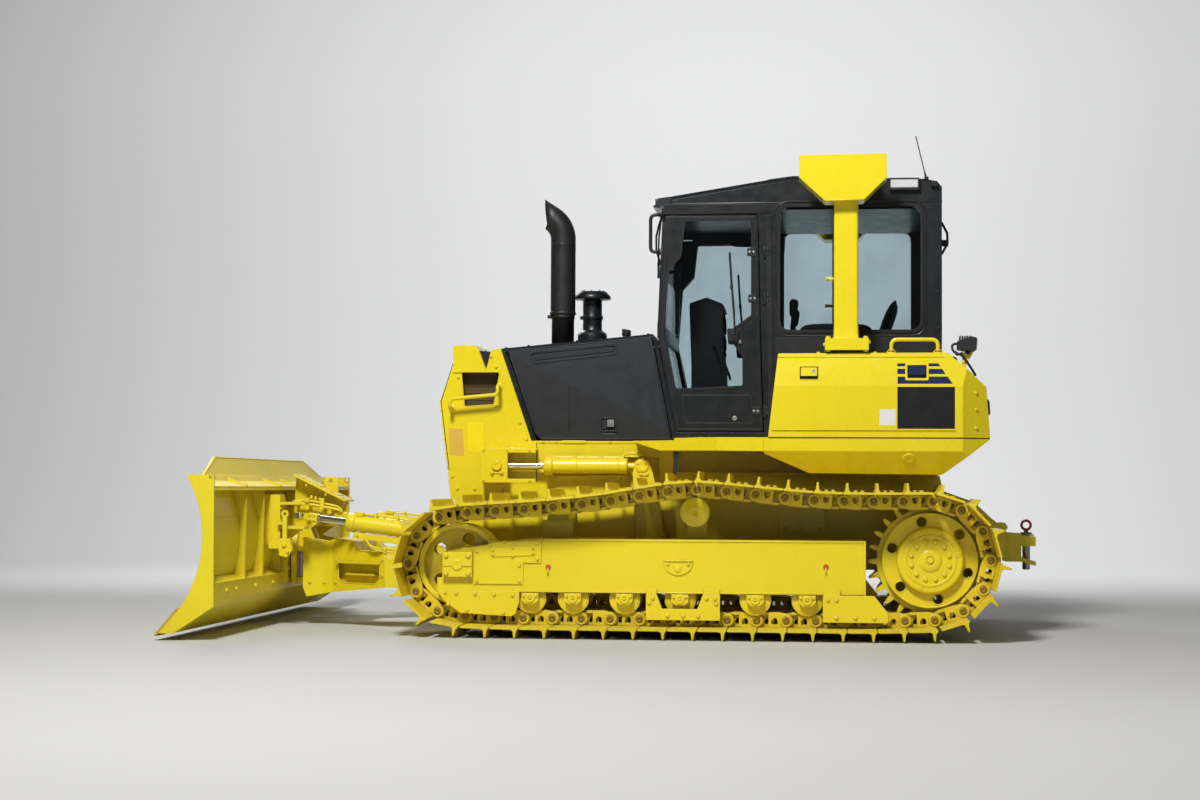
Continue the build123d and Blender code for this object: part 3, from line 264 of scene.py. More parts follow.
M["trackpin"] = surface("mat_track_pin", (0.30, 0.20, 0.03), (0.36, 0.55), metal=0.55, crevice_shade_grime=0.5, dust=0.12, vary=0.15, pits=0.08, wear=0.8)
M["red"] = surface("mat_red_loop", (0.42, 0.018, 0.015), (0.30, 0.46), coat=0.2, crevice_shade_grime=0.3, dust=0.05, vary=0.12, wear=0.5, bevel=0.0015)
M["orange"] = surface("mat_orange_plug", (0.62, 0.12, 0.02), (0.34, 0.5), crevice_shade_grime=0.3, dust=0.05, vary=0.12, bevel=0.001)
M["plastic"] = surface("mat_dark_plastic", (0.028, 0.029, 0.032), (0.48, 0.66), crevice_shade_grime=0.2, dust=0.06, dust_rgb=(0.14, 0.14, 0.14), vary=0.15, bump=0.16, bump_scale=520, bevel=0.004)
M["trimgrey"] = surface("mat_grey_trim", (0.16, 0.165, 0.17), (0.5, 0.68), crevice_shade_grime=0.2, dust=0.05, vary=0.1, bump=0.12, bump_scale=480, bevel=0.004)
M["white"] = surface("mat_white_label", (0.80, 0.80, 0.78), (0.30, 0.42), crevice_shade_grime=0.15, dust=0.05, vary=0.03, bump=0.006, bevel=0.0)
M["stripe"] = surface("mat_blue_stripe", (0.012, 0.022, 0.075), (0.20, 0.30), coat=0.5, coat_rough=0.08, crevice_shade_grime=0.1, dust=0.03, vary=0.1, bump=0.006, bevel=0.0)
M["panel"] = surface("mat_black_panel", (0.006, 0.006, 0.007), (0.34, 0.46), coat=0.08, coat_rough=0.3, crevice_shade_grime=0.1, dust=0.03, vary=0.15, bump=0.004, bevel=0.0)
M["lamp"] = surface("mat_lamp_body", (0.72, 0.73, 0.73), (0.22, 0.36), coat=0.4, crevice_shade_grime=0.2, dust=0.06, vary=0.05, bevel=0.004)


def mat_glass(name, tint, alpha_mix=0.72, rough=0.02):
    """Thin pane: mostly see-through with a tint, a mirror-like skin and a faint film of dust."""
    m, nt, ns, lk = new_mat(name)
    m.use_backface_culling = False
    out = nd(ns, "ShaderNodeOutputMaterial")
    tc = nd(ns, "ShaderNodeTexCoord")
    tr = nd(ns, "ShaderNodeBsdfTransparent")
    film = noise(ns, lk, tc.outputs["Object"], 2.4, 7, 0.6)
    c = mixc(ns, lk, ramp(ns, lk, film, 0.35, 0.75), tint, tuple(v * 0.93 for v in tint))
    lk.new(c, tr.inputs[0])
    b = nd(ns, "ShaderNodeBsdfPrincipled")
    b.inputs["Base Color"].default_value = (0.02, 0.024, 0.028, 1)
    b.inputs["Roughness"].default_value = rough
    b.inputs["Specular IOR Level"].default_value = 0.6
    fr = nd(ns, "ShaderNodeFresnel")
    fr.inputs[0].default_value = 1.5
    k = mathn(ns, lk, "ADD", mathn(ns, lk, "MULTIPLY", fr.outputs[0], 0.7), 1 - alpha_mix, True)
    dustm = mathn(ns, lk, "MULTIPLY", ramp(ns, lk, film, 0.5, 0.9), 0.05)
    k = mathn(ns, lk, "ADD", k, dustm, True)
    mx = nd(ns, "ShaderNodeMixShader")
    lk.new(k, mx.inputs[0])
    lk.new(tr.outputs[0], mx.inputs[1])
    lk.new(b.outputs[0], mx.inputs[2])
    lk.new(mx.outputs[0], out.inputs[0])
    return m


M["glass"] = mat_glass("mat_window_glass", (0.86, 0.92, 0.94), 0.96)


def mat_fabric(name, rgb, scale=260.0):
    """Woven seat cloth: crossed threads, fuzz and colour flecks."""
    m, nt, ns, lk = new_mat(name)
    out = nd(ns, "ShaderNodeOutputMaterial")
    b = nd(ns, "ShaderNodeBsdfPrincipled")
    lk.new(b.outputs[0], out.inputs[0])
    tc = nd(ns, "ShaderNodeTexCoord")
    waves = []
    for axis in ("X", "Y", "Z"):
        w = nd(ns, "ShaderNodeTexWave", wave_type="BANDS", bands_direction=axis)
        w.inputs["Scale"].default_value = scale
        w.inputs["Distortion"].default_value = 1.2
        w.inputs["Detail"].default_value = 2
        lk.new(tc.outputs["Object"], w.inputs["Vector"])
        waves.append(w.outputs["Fac"])
    wv = mathn(ns, lk, "MULTIPLY", mathn(ns, lk, "ADD", waves[0], waves[1]), waves[2])
    fl = noise(ns, lk, tc.outputs["Object"], 900, 3)
    big = noise(ns, lk, tc.outputs["Object"], 9, 5)
    c = mixc(ns, lk, ramp(ns, lk, wv, 0.2, 1.2), tuple(v * 0.6 for v in rgb), tuple(v * 1.5 for v in rgb))
    c = mixc(ns, lk, mathn(ns, lk, "MULTIPLY", ramp(ns, lk, big, 0.4, 0.8), 0.3), c, tuple(v * 2.2 for v in rgb))
    lk.new(c, b.inputs["Base Color"])
    b.inputs["Roughness"].default_value = 0.88
    b.inputs["Sheen Weight"].default_value = 0.4
    b.inputs["Sheen Roughness"].default_value = 0.5
    bp = nd(ns, "ShaderNodeBump")
    bp.inputs["Strength"].default_value = 0.5
    bp.inputs["Distance"].default_value = 0.001
    lk.new(mathn(ns, lk, "ADD", wv, fl), bp.inputs["Height"])
    lk.new(bp.outputs[0], b.inputs["Normal"])
    return m


M["fabric"] = mat_fabric("mat_seat_cloth", (0.035, 0.036, 0.040))


def mat_lens(name, rgb, glow=0.0):
    """Ribbed lamp lens."""
    m, nt, ns, lk = new_mat(name)
    out = nd(ns, "ShaderNodeOutputMaterial")
    b = nd(ns, "ShaderNodeBsdfPrincipled")
    lk.new(b.outputs[0], out.inputs[0])
    tc = nd(ns, "ShaderNodeTexCoord")
    w = nd(ns, "ShaderNodeTexWave", wave_type="BANDS", bands_direction="Z")
    w.inputs["Scale"].default_value = 60
    lk.new(tc.outputs["Object"], w.inputs["Vector"])
    vo = nd(ns, "ShaderNodeTexVoronoi")
    vo.inputs["Scale"].default_value = 90
    lk.new(tc.outputs["Object"], vo.inputs["Vector"])
    c = mixc(ns, lk, w.outputs["Fac"], tuple(v * 0.8 for v in rgb), rgb)
    lk.new(c, b.inputs["Base Color"])
    b.inputs["Roughness"].default_value = 0.08
    b.inputs["Coat Weight"].default_value = 0.8
    b.inputs["Coat Roughness"].default_value = 0.03
    bp = nd(ns, "ShaderNodeBump")
    bp.inputs["Strength"].default_value = 0.35
    bp.inputs["Distance"].default_value = 0.002
    lk.new(mathn(ns, lk, "ADD", vo.outputs["Distance"], w.outputs["Fac"]), bp.inputs["Height"])
    lk.new(bp.outputs[0], b.inputs["Normal"])
    return m


M["lens"] = mat_lens("mat_clear_lens", (0.78, 0.80, 0.82))
M["redlens"] = mat_lens("mat_red_lens", (0.38, 0.01, 0.01))


# ------------------------------------------------------------ mesh building
class Mesh:
    """Collects geometry (station, y, height in mm) and turns it into one piece."""

    def __init__(self):
        self.v, self.f, self.smooth = [], [], []

    def add(self, verts, faces, smooth=False):
        n = len(self.v)
        self.v += [tuple(p) for p in verts]
        self.f += [tuple(n + i for i in f) for f in faces]
        self.smooth += [smooth] * len(faces)

    def loops(self, rings, close=True, caps=True, smooth=True):
        """Skin between equal rings of points."""
        k = len(rings[0])
        v = [p for r in rings for p in r]
        f = []
        for a in range(len(rings) - 1):
            for i in range(k if close else k - 1):
                j = (i + 1) % k
                f.append((a * k + i, a * k + j, (a + 1) * k + j, (a + 1) * k + i))
        self.add(v, f, smooth)
        if caps:
            self.add(rings[0], [tuple(reversed(range(k)))])
            self.add(rings[-1], [tuple(range(k))])

    def poly(self, outer, holes, to3, t0, t1):
        """Flat plate with holes; to3 maps (u, v, t) to a point."""
        rings = [list(outer)] + [list(h) for h in holes]
        flat = [p for r in rings for p in r]
        tri = tessellate_polygon([[Vector((p[0], p[1], 0)) for p in r] for r in rings])
        n = len(flat)
        v = [to3(p[0], p[1], t0) for p in flat] + [to3(p[0], p[1], t1) for p in flat]
        f = [tuple(t) for t in tri] + [tuple(i + n for i in reversed(t)) for t in tri]
        s = 0
        for r in rings:
            k = len(r)
            for i in range(k):
                j = (i + 1) % k
                f.append((s + i, s + j, n + s + j, n + s + i))
            s += k
        self.add(v, f)

    def side(self, pts, y0, y1, holes=()):
        self.poly(pts, holes, lambda u, v, t: (u, t, v), y0, y1)

    def plan(self, pts, z0, z1, holes=()):
        self.poly(pts, holes, lambda u, v, t: (u, v, t), z0, z1)

    def front(self, pts, x0, x1, holes=()):
        self.poly(pts, holes, lambda u, v, t: (t, u, v), x0, x1)

    def box(self, x0, x1, y0, y1, z0, z1):
        v = [(x, y, z) for x in (x0, x1) for y in (y0, y1) for z in (z0, z1)]
        self.add(v, [(0, 1, 3, 2), (4, 6, 7, 5), (0, 4, 5, 1), (2, 3, 7, 6), (0, 2, 6, 4), (1, 5, 7, 3)])

    @staticmethod
    def basis(d):
        d = Vector(d).normalized()
        a = Vector((0, 0, 1)) if abs(d.z) < 0.9 else Vector((1, 0, 0))
        u = a.cross(d).normalized()
        return d, u, d.cross(u)

    def cyl(self, p, q, r, n=24, r2=None, caps=True, turn=0.0):
        p, q = Vector(p), Vector(q)
        d, u, w = self.basis(q - p)
        r2 = r if r2 is None else r2
        ring = lambda c, rad: [tuple(c + u * rad * math.cos(2 * math.pi * i / n + turn) + w * rad * math.sin(2 * math.pi * i / n + turn)) for i in range(n)]
        self.loops([ring(p, r), ring(q, r2)], caps=caps, smooth=n > 8)

    def turned(self, p, d, prof, n=32):
        """Body of revolution: prof is (distance along d, radius)."""
        p = Vector(p)
        d, u, w = self.basis(d)
        rings = []
        for s, r in prof:
            c = p + d * s
            rings.append([tuple(c + u * r * math.cos(2 * math.pi * i / n) + w * r * math.sin(2 * math.pi * i / n)) for i in range(n)])
        if len(prof) > 3 and abs(prof[0][0] - prof[-1][0]) < 1e-6 and abs(prof[0][1] - prof[-1][1]) > 1e-6:
            self.loops(rings + [rings[0]], caps=False)
        else:
            self.loops(rings)

    def bolt(self, p, d, r=9.0, h=7.0, washer=True, n=6):
        """Hexagon head on its washer, standing out of p along d."""
        p, d = Vector(p), Vector(d).normalized()
        if washer:
            self.turned(p - d * 1.0, d, [(0, r * 1.32), (2.4, r * 1.32), (2.8, r * 1.22), (2.8, r * 0.9)], 16)
        d, u, w = self.basis(d)
        rings = []
        for s, k in ((1.5, 1.0), (1.5 + h * 0.85, 1.0), (1.5 + h, 0.84)):
            c = p + d * s
            rings.append([tuple(c + u * r * k * math.cos(math.pi / 3 * i + 0.3) + w * r * k * math.sin(math.pi / 3 * i + 0.3)) for i in range(n)])
        self.loops(rings, smooth=False)

    def tube(self, pts, r, n=14, caps=True):
        """Smooth round hose or pipe through points."""
        P = smooth_line([Vector(p) for p in pts])
        rings = []
        t = (P[1] - P[0]).normalized()
        u = self.basis(t)[1]
        for i, c in enumerate(P):
            t2 = (P[min(i + 1, len(P) - 1)] - P[max(i - 1, 0)]).normalized()
            u = (u - t2 * u.dot(t2)).normalized()
            w = t2.cross(u)
            rings.append([tuple(c + u * r * math.cos(2 * math.pi * k / n) + w * r * math.sin(2 * math.pi * k / n)) for k in range(n)])
        self.loops(rings, caps=caps)

    def pipe(self, pts, r, bend=20.0, n=14):
        """Bent tube: straight runs with round corners."""
        self.tube_raw(round_corners([Vector(p) for p in pts], bend), r, n)

    def tube_raw(self, P, r, n=14):
        rings = []
        u = self.basis((P[1] - P[0]).normalized())[1]
        for i, c in enumerate(P):
            t2 = (P[min(i + 1, len(P) - 1)] - P[max(i - 1, 0)]).normalized()
            u = (u - t2 * u.dot(t2)).normalized()
            w = t2.cross(u)
            rings.append([tuple(c + u * r * math.cos(2 * math.pi * k / n) + w * r * math.sin(2 * math.pi * k / n)) for k in range(n)])
        self.loops(rings)

    def make(self, name, mat, body, slot, bevel=0.0, seg=2, angle=35, replaces=()):
        me = bpy.data.meshes.new(name)
        me.from_pydata([tuple(S(*p)) for p in self.v], [], self.f)
        me.polygons.foreach_set("use_smooth", self.smooth)
        me.update()
        bm = bmesh.new()
        bm.from_mesh(me)
        bmesh.ops.remove_doubles(bm, verts=bm.verts, dist=1e-6)
        bmesh.ops.recalc_face_normals(bm, faces=bm.faces)
        bm.to_mesh(me)
        bm.free()
        o = bpy.data.objects.new(name, me)
        bpy.context.scene.collection.objects.link(o)
        me.materials.append(M[mat])
        if bevel:
            b = o.modifiers.new("bevel", "BEVEL")
            b.width = bevel / 1000
            b.segments = seg
            b.limit_method = "ANGLE"
            b.angle_limit = math.radians(angle)
            b.harden_normals = False
        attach(o, body)
        if replaces:
            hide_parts(*replaces)
        return o


def smooth_line(P, k=8):
    """Catmull-Rom line through the points."""
    if len(P) == 2:
        return P
    E = [P[0] * 2 - P[1]] + P + [P[-1] * 2 - P[-2]]
    out = []
    for i in range(1, len(E) - 2):
        a, b, c, d = E[i - 1:i + 3]
        for s in range(k):
            t = s / k
            out.append(0.5 * (2 * b + (c - a) * t + (2 * a - 5 * b + 4 * c - d) * t * t + (3 * b - a - 3 * c + d) * t ** 3))
    out.append(P[-1])
    return out


def round_corners(P, r, k=6):
    out = [P[0]]
    for i in range(1, len(P) - 1):
        a, b, c = P[i - 1], P[i], P[i + 1]
        u, w = (a - b).normalized(), (c - b).normalized()
        ang = u.angle(w)
        d = min(r / math.tan(ang / 2), (a - b).length * 0.49, (c - b).length * 0.49)
        p, q = b + u * d, b + w * d
        for s in range(k + 1):
            t = s / k
            out.append(p * (1 - t) ** 2 + b * 2 * t * (1 - t) + q * t * t)
    out.append(P[-1])
    return out


def circle(cx, cz, r, n=24, a0=0.0, a1=360.0):
    full = abs(a1 - a0) >= 359.9
    m = n if full else n - 1
    return [(cx + r * math.cos(math.radians(a0 + (a1 - a0) * i / m)), cz + r * math.sin(math.radians(a0 + (a1 - a0) * i / m))) for i in range(n)]


def rrect(x0, x1, z0, z1, r, n=5):
    out = []
    for cx, cz, a in ((x1 - r, z1 - r, 0), (x0 + r, z1 - r, 90), (x0 + r, z0 + r, 180), (x1 - r, z0 + r, 270)):
        out += [(cx + r * math.cos(math.radians(a + 90 * i / n)), cz + r * math.sin(math.radians(a + 90 * i / n))) for i in range(n + 1)]
    return out


def rounded(pts, r, n=5):
    """Polygon with round corners."""
    out = []
    k = len(pts)
    for i in range(k):
        a, b, c = Vector(pts[i - 1]), Vector(pts[i]), Vector(pts[(i + 1) % k])
        u, w = (a - b).normalized(), (c - b).normalized()
        d = min(r / math.tan(max(0.05, u.angle(w)) / 2), (a - b).length * 0.45, (c - b).length * 0.45)
        p, q = b + u * d, b + w * d
        for s in range(n + 1):
            t = s / n
            out.append(tuple(p * (1 - t) ** 2 + b * 2 * t * (1 - t) + q * t * t))
    return out


def inset(points, d):
    n = len(points)
    area = sum(points[i - 1][0] * points[i][1] - points[i][0] * points[i - 1][1] for i in range(n))
    s = d if area > 0 else -d
    res = []
    for i in range(n):
        p0, p1, p2 = (Vector(points[j % n]) for j in (i - 1, i, i + 1))
        u1, u2 = (p1 - p0).normalized(), (p2 - p1).normalized()
        n1, n2 = Vector((-u1.y, u1.x)), Vector((-u2.y, u2.x))
        b = n1 + n2
        if b.length < 1e-4:
            b = n1 * 2
        res.append(tuple(p1 + b * (s * 2 / b.length_squared)))
    return res


SLOT_MAT = {"track_paint": "track", "frame_paint": "frame", "body_paint": "body", "dark_paint": "dark", "black_paint": "black", "rubber_pad": "rubber",
            "engine_iron": "iron", "window_glass": "glass", "seat_fabric": "fabric", "console_plastic": "plastic", "lamp_lens": "lamp", "pin_steel": "pin",
            "linkage_paint": "frame", "chrome_rod": "chrome", "blade_paint": "blade", "edge_steel": "steel"}
node_slot = {s["node"]: s["material_slot"] for s in frame["record"]["subparts"]}
for node, ob in frame["nodes"].items():
    key = SLOT_MAT[node_slot[node]]
    if node in ("left_engine_cover", "right_engine_cover"):
        key = "hoodside"
    for i in range(max(1, len(ob.material_slots))):
        if not ob.material_slots:
            ob.data.materials.append(M[key])
        else:
            ob.material_slots[i].material = M[key]
SIDES = ((1, "left"), (-1, "right"))

# ------------------------------------------------------------------ tracks
GH = 895.0
SPROCKET, IDLER, IDLER_R, PIN_Z, N_SHOES = (0.0, 427.0), (2553.0, 387.0), 282.0, 98.0, 44
ROLLERS = (2155.0, 1922.0, 1641.0, 1340.0, 935.0, 656.0, 420.0)
TOP_RUN = [(0.0, 0.0), (310, 742.0), (627, 749.0), (941, 777.0), (1262, 803.0), (1500, 776.0), (1748, 734.0), (2051, 700.0), (2367, 679.0)]


def chain_path(r_s):
    sx, sz = SPROCKET
    ix, iz = IDLER
    pts = [(1246.0 + 104.4 * i, PIN_Z) for i in range(10)] + [(2290.0, PIN_Z)]
    for i in range(61):
        t = math.radians(-90 + 184 * i / 60)
        pts.append((ix + IDLER_R * math.cos(t), iz + IDLER_R * math.sin(t)))
    run = [pts[-1]] + list(reversed(TOP_RUN[1:])) + [(sx, sz + r_s)]
    ext = [(run[0][0] + 200, run[0][1] - 6)] + run + [(sx - 200, sz + r_s)]
    for k in range(1, len(ext) - 2):
        p0, p1, p2, p3 = ext[k - 1], ext[k], ext[k + 1], ext[k + 2]
        for i in range(1, 16):
            t = i / 16
            pts.append(tuple(0.5 * (2 * p1[j] + (p2[j] - p0[j]) * t + (2 * p0[j] - 5 * p1[j] + 4 * p2[j] - p3[j]) * t * t
                                    + (3 * p1[j] - p0[j] - 3 * p2[j] + p3[j]) * t ** 3) for j in (0, 1)))
    for i in range(61):
        t = math.radians(90 + 180 * i / 60)
        pts.append((sx + r_s * math.cos(t), sz + r_s * math.sin(t)))
    return pts + [(330.0 + 91.6 * i, PIN_Z) for i in range(10)]


def walk(path, pitch, n):
    out, idx, a = [path[0]], 0, path[0]
    m = len(path)
    while len(out) <= n:
        b = path[(idx + 1) % m]
        if math.dist(out[-1], b) < pitch:
            idx += 1
            a = b
            continue
        lo, hi = 0.0, 1.0
        for _ in range(40):
            mid = (lo + hi) / 2
            p = (a[0] + (b[0] - a[0]) * mid, a[1] + (b[1] - a[1]) * mid)
            if math.dist(out[-1], p) < pitch:
                lo = mid
            else:
                hi = mid
        a = (a[0] + (b[0] - a[0]) * hi, a[1] + (b[1] - a[1]) * hi)
        out.append(a)
    return out, idx >= m


def chain_pins():
    pitch = 159.5
    for _ in range(5):
        r_s = pitch / 2 / math.sin(math.radians(14.4))
        path = chain_path(r_s)
        lo, hi = 150.0, 170.0
        for _ in range(36):
            pitch = (lo + hi) / 2
            out, passed = walk(path, pitch, N_SHOES)
            if passed:
                hi = pitch
            else:
                lo = pitch
    return out[:-1], pitch, r_s


PINS, PITCH, SPROCKET_R = chain_pins()


def link_frames():
    n = len(PINS)
    for i in range(n):
        p, q = PINS[i], PINS[(i + 1) % n]
        d = math.dist(p, q)
        u = ((q[0] - p[0]) / d, (q[1] - p[1]) / d)
        yield i, p, u, (u[1], -u[0])


def place2(p, u, w):
    return lambda a, b: (p[0] + u[0] * a + w[0] * b, p[1] + u[1] * a + w[1] * b)


for s, side in SIDES:
    shoes, links, nuts, pins = Mesh(), Mesh(), Mesh(), Mesh()
    for i, p, u, w in link_frames():
        at = place2(p, u, w)
        # single grouser shoe: curled rear lip, bar near the front pin, plate between
        prof = [(-7, 40), (-3, 34.5), (6, 36.5), (PITCH - 16, 36.5), (PITCH - 11, 38), (PITCH - 8.5, 43), (PITCH - 11, 47.5), (PITCH - 22, 49),
                (40, 49), (30, 52), (24, 62), (19.5, 96), (17.5, 97.8), (11.5, 97.8), (9.5, 96), (5, 60), (0, 50), (-5, 46)]
        yo, yi = s * (GH + 350), s * (GH - 350)
        rings = []
        for y, k in ((yo, 7.0), (yo - s * 7, 0.0), (yi + s * 7, 0.0), (yi, 7.0)):
            ring = []
            for a, b in prof:
                b2 = b - (k if b > 60 else 0)
                x, z = at(a, b2)
                ring.append((x, y, z))
            rings.append(ring)
        shoes.loops(rings, smooth=False)
        # links: waisted plates, stepped outwards over the next link, with two nut windows
        for g in (1, -1):
            yc = s * GH
            def lp(a0, a1, y0, y1, holes):
                out = []
                if a0 < 0:
                    out += [(38 * math.cos(math.radians(t)), 38 * math.sin(math.radians(t))) for t in range(90, 271, 20)]
                else:
                    out += [(a0, 35), (a0, -40)]
                if a1 > PITCH:
                    out += [(60, -44), (PITCH - 40, -44)]
                    out += [(PITCH + 38 * math.cos(math.radians(t)), 38 * math.sin(math.radians(t))) for t in range(-90, 91, 20)]
                else:
                    out += [(22, -43), (a1, -44), (a1, 35)]
                pts = [at(*q) for q in out]
                hs = [[at(*q) for q in h] for h in holes]
                links.side(pts, y0, y1, hs)
            # rear half sits outboard, front half inboard
            win = lambda c: [(c - 15, 20), (c + 15, 20), (c + 17, 4), (c + 6, -12), (c - 9, -12), (c - 17, 2)]
            lp(-1, PITCH * 0.60, yc + g * 78, yc + g * 100, [win(62)])
            lp(PITCH * 0.40, PITCH + 1, yc + g * 57, yc + g * 79, [win(PITCH - 60)])
            # rail head, the wheel path
            rail = [at(26, -30), at(30, -45), at(PITCH - 30, -45), at(PITCH - 24, -30)]
            links.side(rail, yc + g * 60, yc + g * 97)
            # pin boss and pin end
            x, z = at(0, 0)
            links.turned((x, yc + g * 99, z), (0, g, 0), [(0, 34), (4, 34), (5.5, 32), (5.5, 24), (3, 22)], 24)
            pins.turned((x, yc + g * 90, z), (0, g, 0), [(0, 19), (16.5, 19), (17.6, 17.5), (17.6, 6), (15.8, 4.5)], 20)
            # shoe bolts: head outside on the shoe, nut in the window
            for c in (62, PITCH - 60):
                for dy in (0,):
                    yb = yc + g * (89 if c < 80 else 68)
                    x0, z0 = at(c, 49)
                    nuts.bolt((x0, yb, z0), (w[0], 0, w[1]), 11, 9)
                    x1, z1 = at(c, 22)
                    nuts.cyl((x1, yb, z1), at(c, 34)[:1] + (yb,) + at(c, 34)[1:], 10.5, n=6)
        x, z = at(0, 0)
        pins.cyl((x, s * GH - 58, z), (x, s * GH + 58, z), 29, 20)
    t1 = shoes.make(side + "_track_shoes", "track", "chassis", "track_paint", replaces=(side + "_track",))
    links.make(side + "_track_links", "track", "chassis", "track_paint", bevel=1.6, seg=1)
    nuts.make(side + "_track_bolts", "track", "chassis", "track_paint")
    pins.make(side + "_track_pins", "trackpin", "chassis", "frame_paint")

    # ---------------------------------------------------------- wheels and frame trim
    g = Mesh()
    sx, sz = SPROCKET
    for k in range(12):
        t = math.radians(15 + 30 * k)
        g.bolt((sx + 104 * math.cos(t), s * (GH + 104), sz + 104 * math.sin(t)), (0, s, 0), 10.5, 9)
    for k in range(6):
        t = math.radians(78 + 60 * k)
        c = (sx + 212 * math.cos(t), s * (GH + 60), sz + 212 * math.sin(t))
        g.turned(c, (0, s, 0), [(-3, 33), (1.5, 33), (2.5, 31.5), (2.5, 29), (-3, 27.5)], 32)
    g.turned((sx, s * (GH + 104), sz), (0, s, 0), [(-2, 62), (1.5, 62), (6, 56), (9, 30), (9, 24), (3, 22)], 40)
    g.bolt((sx, s * (GH + 107), sz), (0, s, 0), 17, 10)
    g.turned((sx, s * (GH + 104), sz), (0, s, 0), [(-3, 142), (1, 142), (3, 139), (3, 128), (1, 125), (-3, 125)], 48)
    for t in (48, 168, 288):
        a = math.radians(t)
        g.turned((sx + 152 * math.cos(a), s * (GH + 98), sz + 152 * math.sin(a)), (0, s, 0), [(0, 13), (7, 13), (9, 11), (9, 5), (5, 4)], 20)
    # rim step of the disc
    g.turned((sx, s * (GH + 60), sz), (0, s, 0), [(-3, 257.5), (1, 257), (3, 254), (3, 248), (1, 246), (-3, 246)], 64)
    g.make(side + "_sprocket_bolts", "frame", "chassis", "frame_paint", bevel=0.8, seg=1)

    g = Mesh()
    ix, iz = IDLER
    for x in (ix - 62, ix + 60):
        for z in (iz - 46, iz + 50):
            g.bolt((x, s * 1072, z), (0, s, 0), 12, 9)
    g.turned((ix, s * 1072, iz), (0, s, 0), [(-2, 30), (4, 30), (7, 27), (7, 12), (5, 10)], 28)
    g.side(rounded([(ix - 82, iz - 8), (ix + 80, iz - 8), (ix + 80, iz + 8), (ix - 82, iz + 8)], 3), s * 1070, s * 1076)
    # rim lips and a ring on the idler's web
    for q in (s * GH, ):
        g.turned((ix, q + s * 98, iz), (0, s, 0), [(-14, 224), (0.5, 224), (1.5, 221), (1.5, 204), (0, 200), (-14, 200)], 64)
        g.turned((ix, q + s * 108, iz), (0, s, 0), [(-30, 98), (-4, 98), (1.5, 88), (1.5, 72)], 40)
    g.make(side + "_idler_trim", "frame", "chassis", "frame_paint", bevel=1.0, seg=1)

    g = Mesh()
    for x in ROLLERS:
        # end cap, its plug and two bolts per bracket
        g.turned((x, s * 1050, 210), (0, s, 0), [(-3, 27), (3, 27), (6, 24), (6, 11), (3, 10)], 28)
        g.bolt((x, s * 1053, 210), (0, s, 0), 7, 6)
        for dx in (-33, 33):
            g.bolt((x + dx, s * 1050, 222), (0, s, 0), 7.5, 6)
        for q in (GH + 116, ):
            g.turned((x, s * q, 210), (0, s, 0), [(-2, 78), (1.5, 78), (2.5, 74), (2.5, 50), (6, 44), (6, 34)], 40)
    g.turned((1262, s * (GH + 114), 679), (0, s, 0), [(-2, 74), (2, 74), (3, 70), (3, 44), (8, 36), (8, 12), (4, 10)], 40)
    g.make(side + "_roller_caps", "frame", "chassis", "frame_paint", bevel=0.8, seg=1)

    g, o, b = Mesh(), Mesh(), Mesh()
    yf = s * 1040
    # weld beads and edges of the box section
    g.pipe([(356, yf, 527), (2084, yf, 527)], 3.2)
    g.pipe([(356, yf, 244), (2200, yf, 244)], 3.2)
    g.side([(2080, 531), (349, 531), (349, 519), (2084, 519)], yf, s * 1043.5)
    # half round cover with two bolts, lifting eye
    cov = [(1351 + 82 * math.cos(math.radians(t)), 416 + 78 * math.sin(math.radians(t))) for t in range(180, 361, 12)]
    g.side(cov, yf - s * 2, s * 1046)
    g.side([(1274, 414), (1428, 414), (1430, 420), (1272, 420)], yf - s * 2, s * 1052)
    for dx in (-56, 56):
        b.bolt((1351 + dx, s * 1046, 399), (0, s, 0), 8, 6)
    g.turned((1351, s * 1045, 372), (0, s, 0), [(0, 17), (4, 17), (6, 14), (6, 8)], 24)
    for x, z in ((2057, 378), (557, 391)):
        o.turned((x, yf, z), (0, s, 0), [(-2, 15), (4, 15), (6, 13), (6, 6), (4, 5)], 20)
        b.pipe([(x, s * 1046, z - 6), (x, s * 1052, z - 26), (x + 4, s * 1050, z - 34)], 3.5, 6)
    # guards: bolts along their edges
    for x, z in ((2622, 236), (2560, 232), (2456, 228), (2352, 226), (2250, 222), (2604, 172), (2500, 140), (2300, 128)):
        b.bolt((x, s * 1046, z), (0, s, 0), 8.5, 6.5)
    for x, z in ((1150, 216), (1196, 216), (1484, 216), (1504, 190), (1142, 190), (1240, 122), (1322, 122), (1405, 122)):
        b.bolt((x, s * 1068, z), (0, s, 0), 9, 7)
    for x, z in ((500, 214), (546, 214), (300, 120), (400, 120), (500, 120)):
        b.bolt((x, s * 1068, z), (0, s, 0), 9, 7)
    for x, z in ((2448, 300), (2448, 462), (2214, 300), (2214, 384), (2116, 420), (2116, 506), (2300, 512), (2376, 494)):
        b.bolt((x, s * 1046, z), (0, s, 0), 8, 6)
    # track adjuster cover and grease point on the yoke
    g.side(rounded([(2130, 440), (2370, 430), (2370, 478), (2130, 490)], 8), s * 1044, s * 1050)
    for x, z in ((2142, 452), (2142, 478), (2358, 442), (2358, 466), (2250, 436), (2250, 482)):
        b.bolt((x, s * 1050, z), (0, s, 0), 6, 5)
    # end plate at the sprocket
    g.side([(344, 531), (356, 531), (356, 239), (344, 239)], s * 750, s * 1046)
    g.make(side + "_frame_trim", "frame", "chassis", "frame_paint", bevel=1.2, seg=1)
    b.make(side + "_frame_bolts", "frame", "chassis", "frame_paint")
    o.make(side + "_frame_plugs", "orange", "chassis", "frame_paint", bevel=0.6, seg=1)
